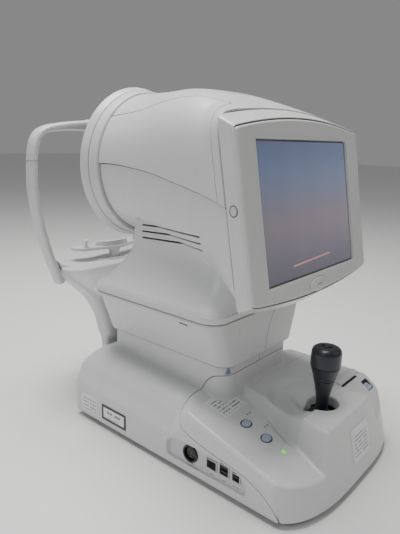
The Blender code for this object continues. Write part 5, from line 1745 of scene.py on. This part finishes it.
# ---- parts inside --------------------------------------------------------------------------------
INNER_FINISHES = {
    "alloy": ("base_pan", "power_supply", "joystick_socket", "lift_carriage", "cross_saddle", "head_chassis"),
    "steel": ("door_hinge_pin", "joystick_gimbal", "lift_drive_frame", "lift_screw", "lateral_rails",
              "lateral_screw"),
    "black_plastic": ("printer_tray", "wavefront_unit"),
    "black_rubber": ("platen_roller",),
    "board_green": ("main_board",),
    "paper": ("paper_roll",),
}


class REFRACTION_OT_inner_parts(Operator):
    """Finish the drives, frames and boards that stay as they are in the CAD model"""
    bl_idname = "refraction.inner_parts"
    bl_label = "Inner Parts"

    def execute(self, context):
        for finish, nodes in INNER_FINISHES.items():
            for node in nodes:
                dress(node, finish)
        return {"FINISHED"}


# ---- studio --------------------------------------------------------------------------------------
CAMERA_PLACE = Vector((-0.5538, -0.4436, 0.4101))
CAMERA_FORWARD = Vector((0.7434, 0.6218, -0.2464))
CAMERA_UP = Vector((0.1694, 0.1814, 0.9687))
CAMERA_LENS = 34.27


def aimed(place_at, target):
    """A rotation that looks from one point at another."""
    return (Vector(target) - Vector(place_at)).to_track_quat("-Z", "Y").to_euler()


class REFRACTION_OT_studio(Operator):
    """Set the floor, soft lights, plain background and the camera"""
    bl_idname = "refraction.studio"
    bl_label = "Studio"

    def execute(self, context):
        tints = context.scene.refraction_finishes
        self.floor(tuple(tints.floor))
        self.lights()
        self.camera(context)
        world = bpy.data.worlds.new("studio")
        world.use_nodes = True
        sky = world.node_tree.nodes["Background"]
        sky.inputs["Color"].default_value = (0.90, 0.90, 0.92, 1.0)
        sky.inputs["Strength"].default_value = 0.28
        context.scene.world = world
        return {"FINISHED"}

    def floor(self, tint):
        reach = (-9000, 0, 9000)
        bm = skin([[(x, y, 0) for x in reach] for y in reach], around=False, caps=False)
        bmesh.ops.scale(bm, verts=bm.verts, vec=(MM, MM, MM))
        mesh = bpy.data.meshes.new("studio_floor")
        bm.to_mesh(mesh)
        bm.free()
        n = Nodes("studio_floor")
        n.wire("Base Color", n.mix(n.between(n.noise(n.local(), 3.0), 0.0, 1.0), tinted(tint, 0.99),
                                   tinted(tint, 1.01)))
        n.shader.inputs["Roughness"].default_value = 0.55
        mesh.materials.append(n.material)
        floor = bpy.data.objects.new("studio_floor", mesh)
        bpy.context.scene.collection.objects.link(floor)

    def lights(self):
        for name, place_at, size, power, tint in (
                ("ceiling", (0.0, 0.30, 1.75), 0.9, 40.0, (1.0, 0.995, 0.98)),
                ("left_window", (-2.1, 0.1, 1.5), 1.0, 9.0, (0.95, 0.975, 1.0)),
                ("front_fill", (0.9, -2.0, 1.9), 1.0, 6.5, (1.0, 0.99, 0.98))):
            light = bpy.data.lights.new(name, "AREA")
            light.size = size
            light.energy = power
            light.color = tint
            lamp = bpy.data.objects.new(name, light)
            lamp.location = place_at
            lamp.rotation_euler = aimed(place_at, (0.0, 0.0, 0.2))
            bpy.context.scene.collection.objects.link(lamp)

    def camera(self, context):
        data = bpy.data.cameras.new("camera")
        data.lens = CAMERA_LENS
        data.sensor_fit = "VERTICAL"
        data.sensor_height = 36.0
        data.clip_end = 50.0
        camera = bpy.data.objects.new("camera", data)
        right = CAMERA_FORWARD.cross(CAMERA_UP).normalized()
        up = right.cross(CAMERA_FORWARD).normalized()
        axes = Matrix((right, up, -CAMERA_FORWARD.normalized())).transposed().to_4x4()
        camera.matrix_world = Matrix.Translation(CAMERA_PLACE) @ axes
        context.scene.collection.objects.link(camera)
        context.scene.camera = camera


# ---- sidebar and registration --------------------------------------------------------------------
SETTINGS = {
    "refraction_stand": StandSizes,
    "refraction_head": HeadSizes,
    "refraction_display": DisplaySizes,
    "refraction_patient": PatientSizes,
    "refraction_finishes": FinishColours,
}
STEPS = (
    REFRACTION_OT_studio, REFRACTION_OT_inner_parts, REFRACTION_OT_stand_covers, REFRACTION_OT_column_marks,
    REFRACTION_OT_feet, REFRACTION_OT_sockets, REFRACTION_OT_labels, REFRACTION_OT_deck_keys,
    REFRACTION_OT_joystick, REFRACTION_OT_printer, REFRACTION_OT_power_inlet, REFRACTION_OT_lift_skirt,
    REFRACTION_OT_head_lower, REFRACTION_OT_head_covers, REFRACTION_OT_face_disc, REFRACTION_OT_display,
    REFRACTION_OT_forehead_arch, REFRACTION_OT_chin_rest,
)


class REFRACTION_PT_sidebar(Panel):
    """List the building steps and the sizes they read"""
    bl_idname = "REFRACTION_PT_sidebar"
    bl_label = "Eye Refraction Analyser"
    bl_space_type = "VIEW_3D"
    bl_region_type = "UI"
    bl_category = "Refraction"

    def draw(self, context):
        for step in STEPS:
            self.layout.operator(step.bl_idname)
        for name, group in SETTINGS.items():
            box = self.layout.box()
            for prop in group.__annotations__:
                box.prop(getattr(context.scene, name), prop)


CLASSES = (*SETTINGS.values(), *STEPS, REFRACTION_PT_sidebar)


def register():
    for entry in CLASSES:
        bpy.utils.register_class(entry)
    for name, group in SETTINGS.items():
        setattr(bpy.types.Scene, name, PointerProperty(type=group))


def unregister():
    for name in SETTINGS:
        delattr(bpy.types.Scene, name)
    for entry in reversed(CLASSES):
        bpy.utils.unregister_class(entry)


def main():
    register()
    make_finishes(bpy.context.scene.refraction_finishes)
    for step in STEPS:
        area, name = step.bl_idname.split(".")
        getattr(getattr(bpy.ops, area), name)()


if __name__ == "__main__":
    main()
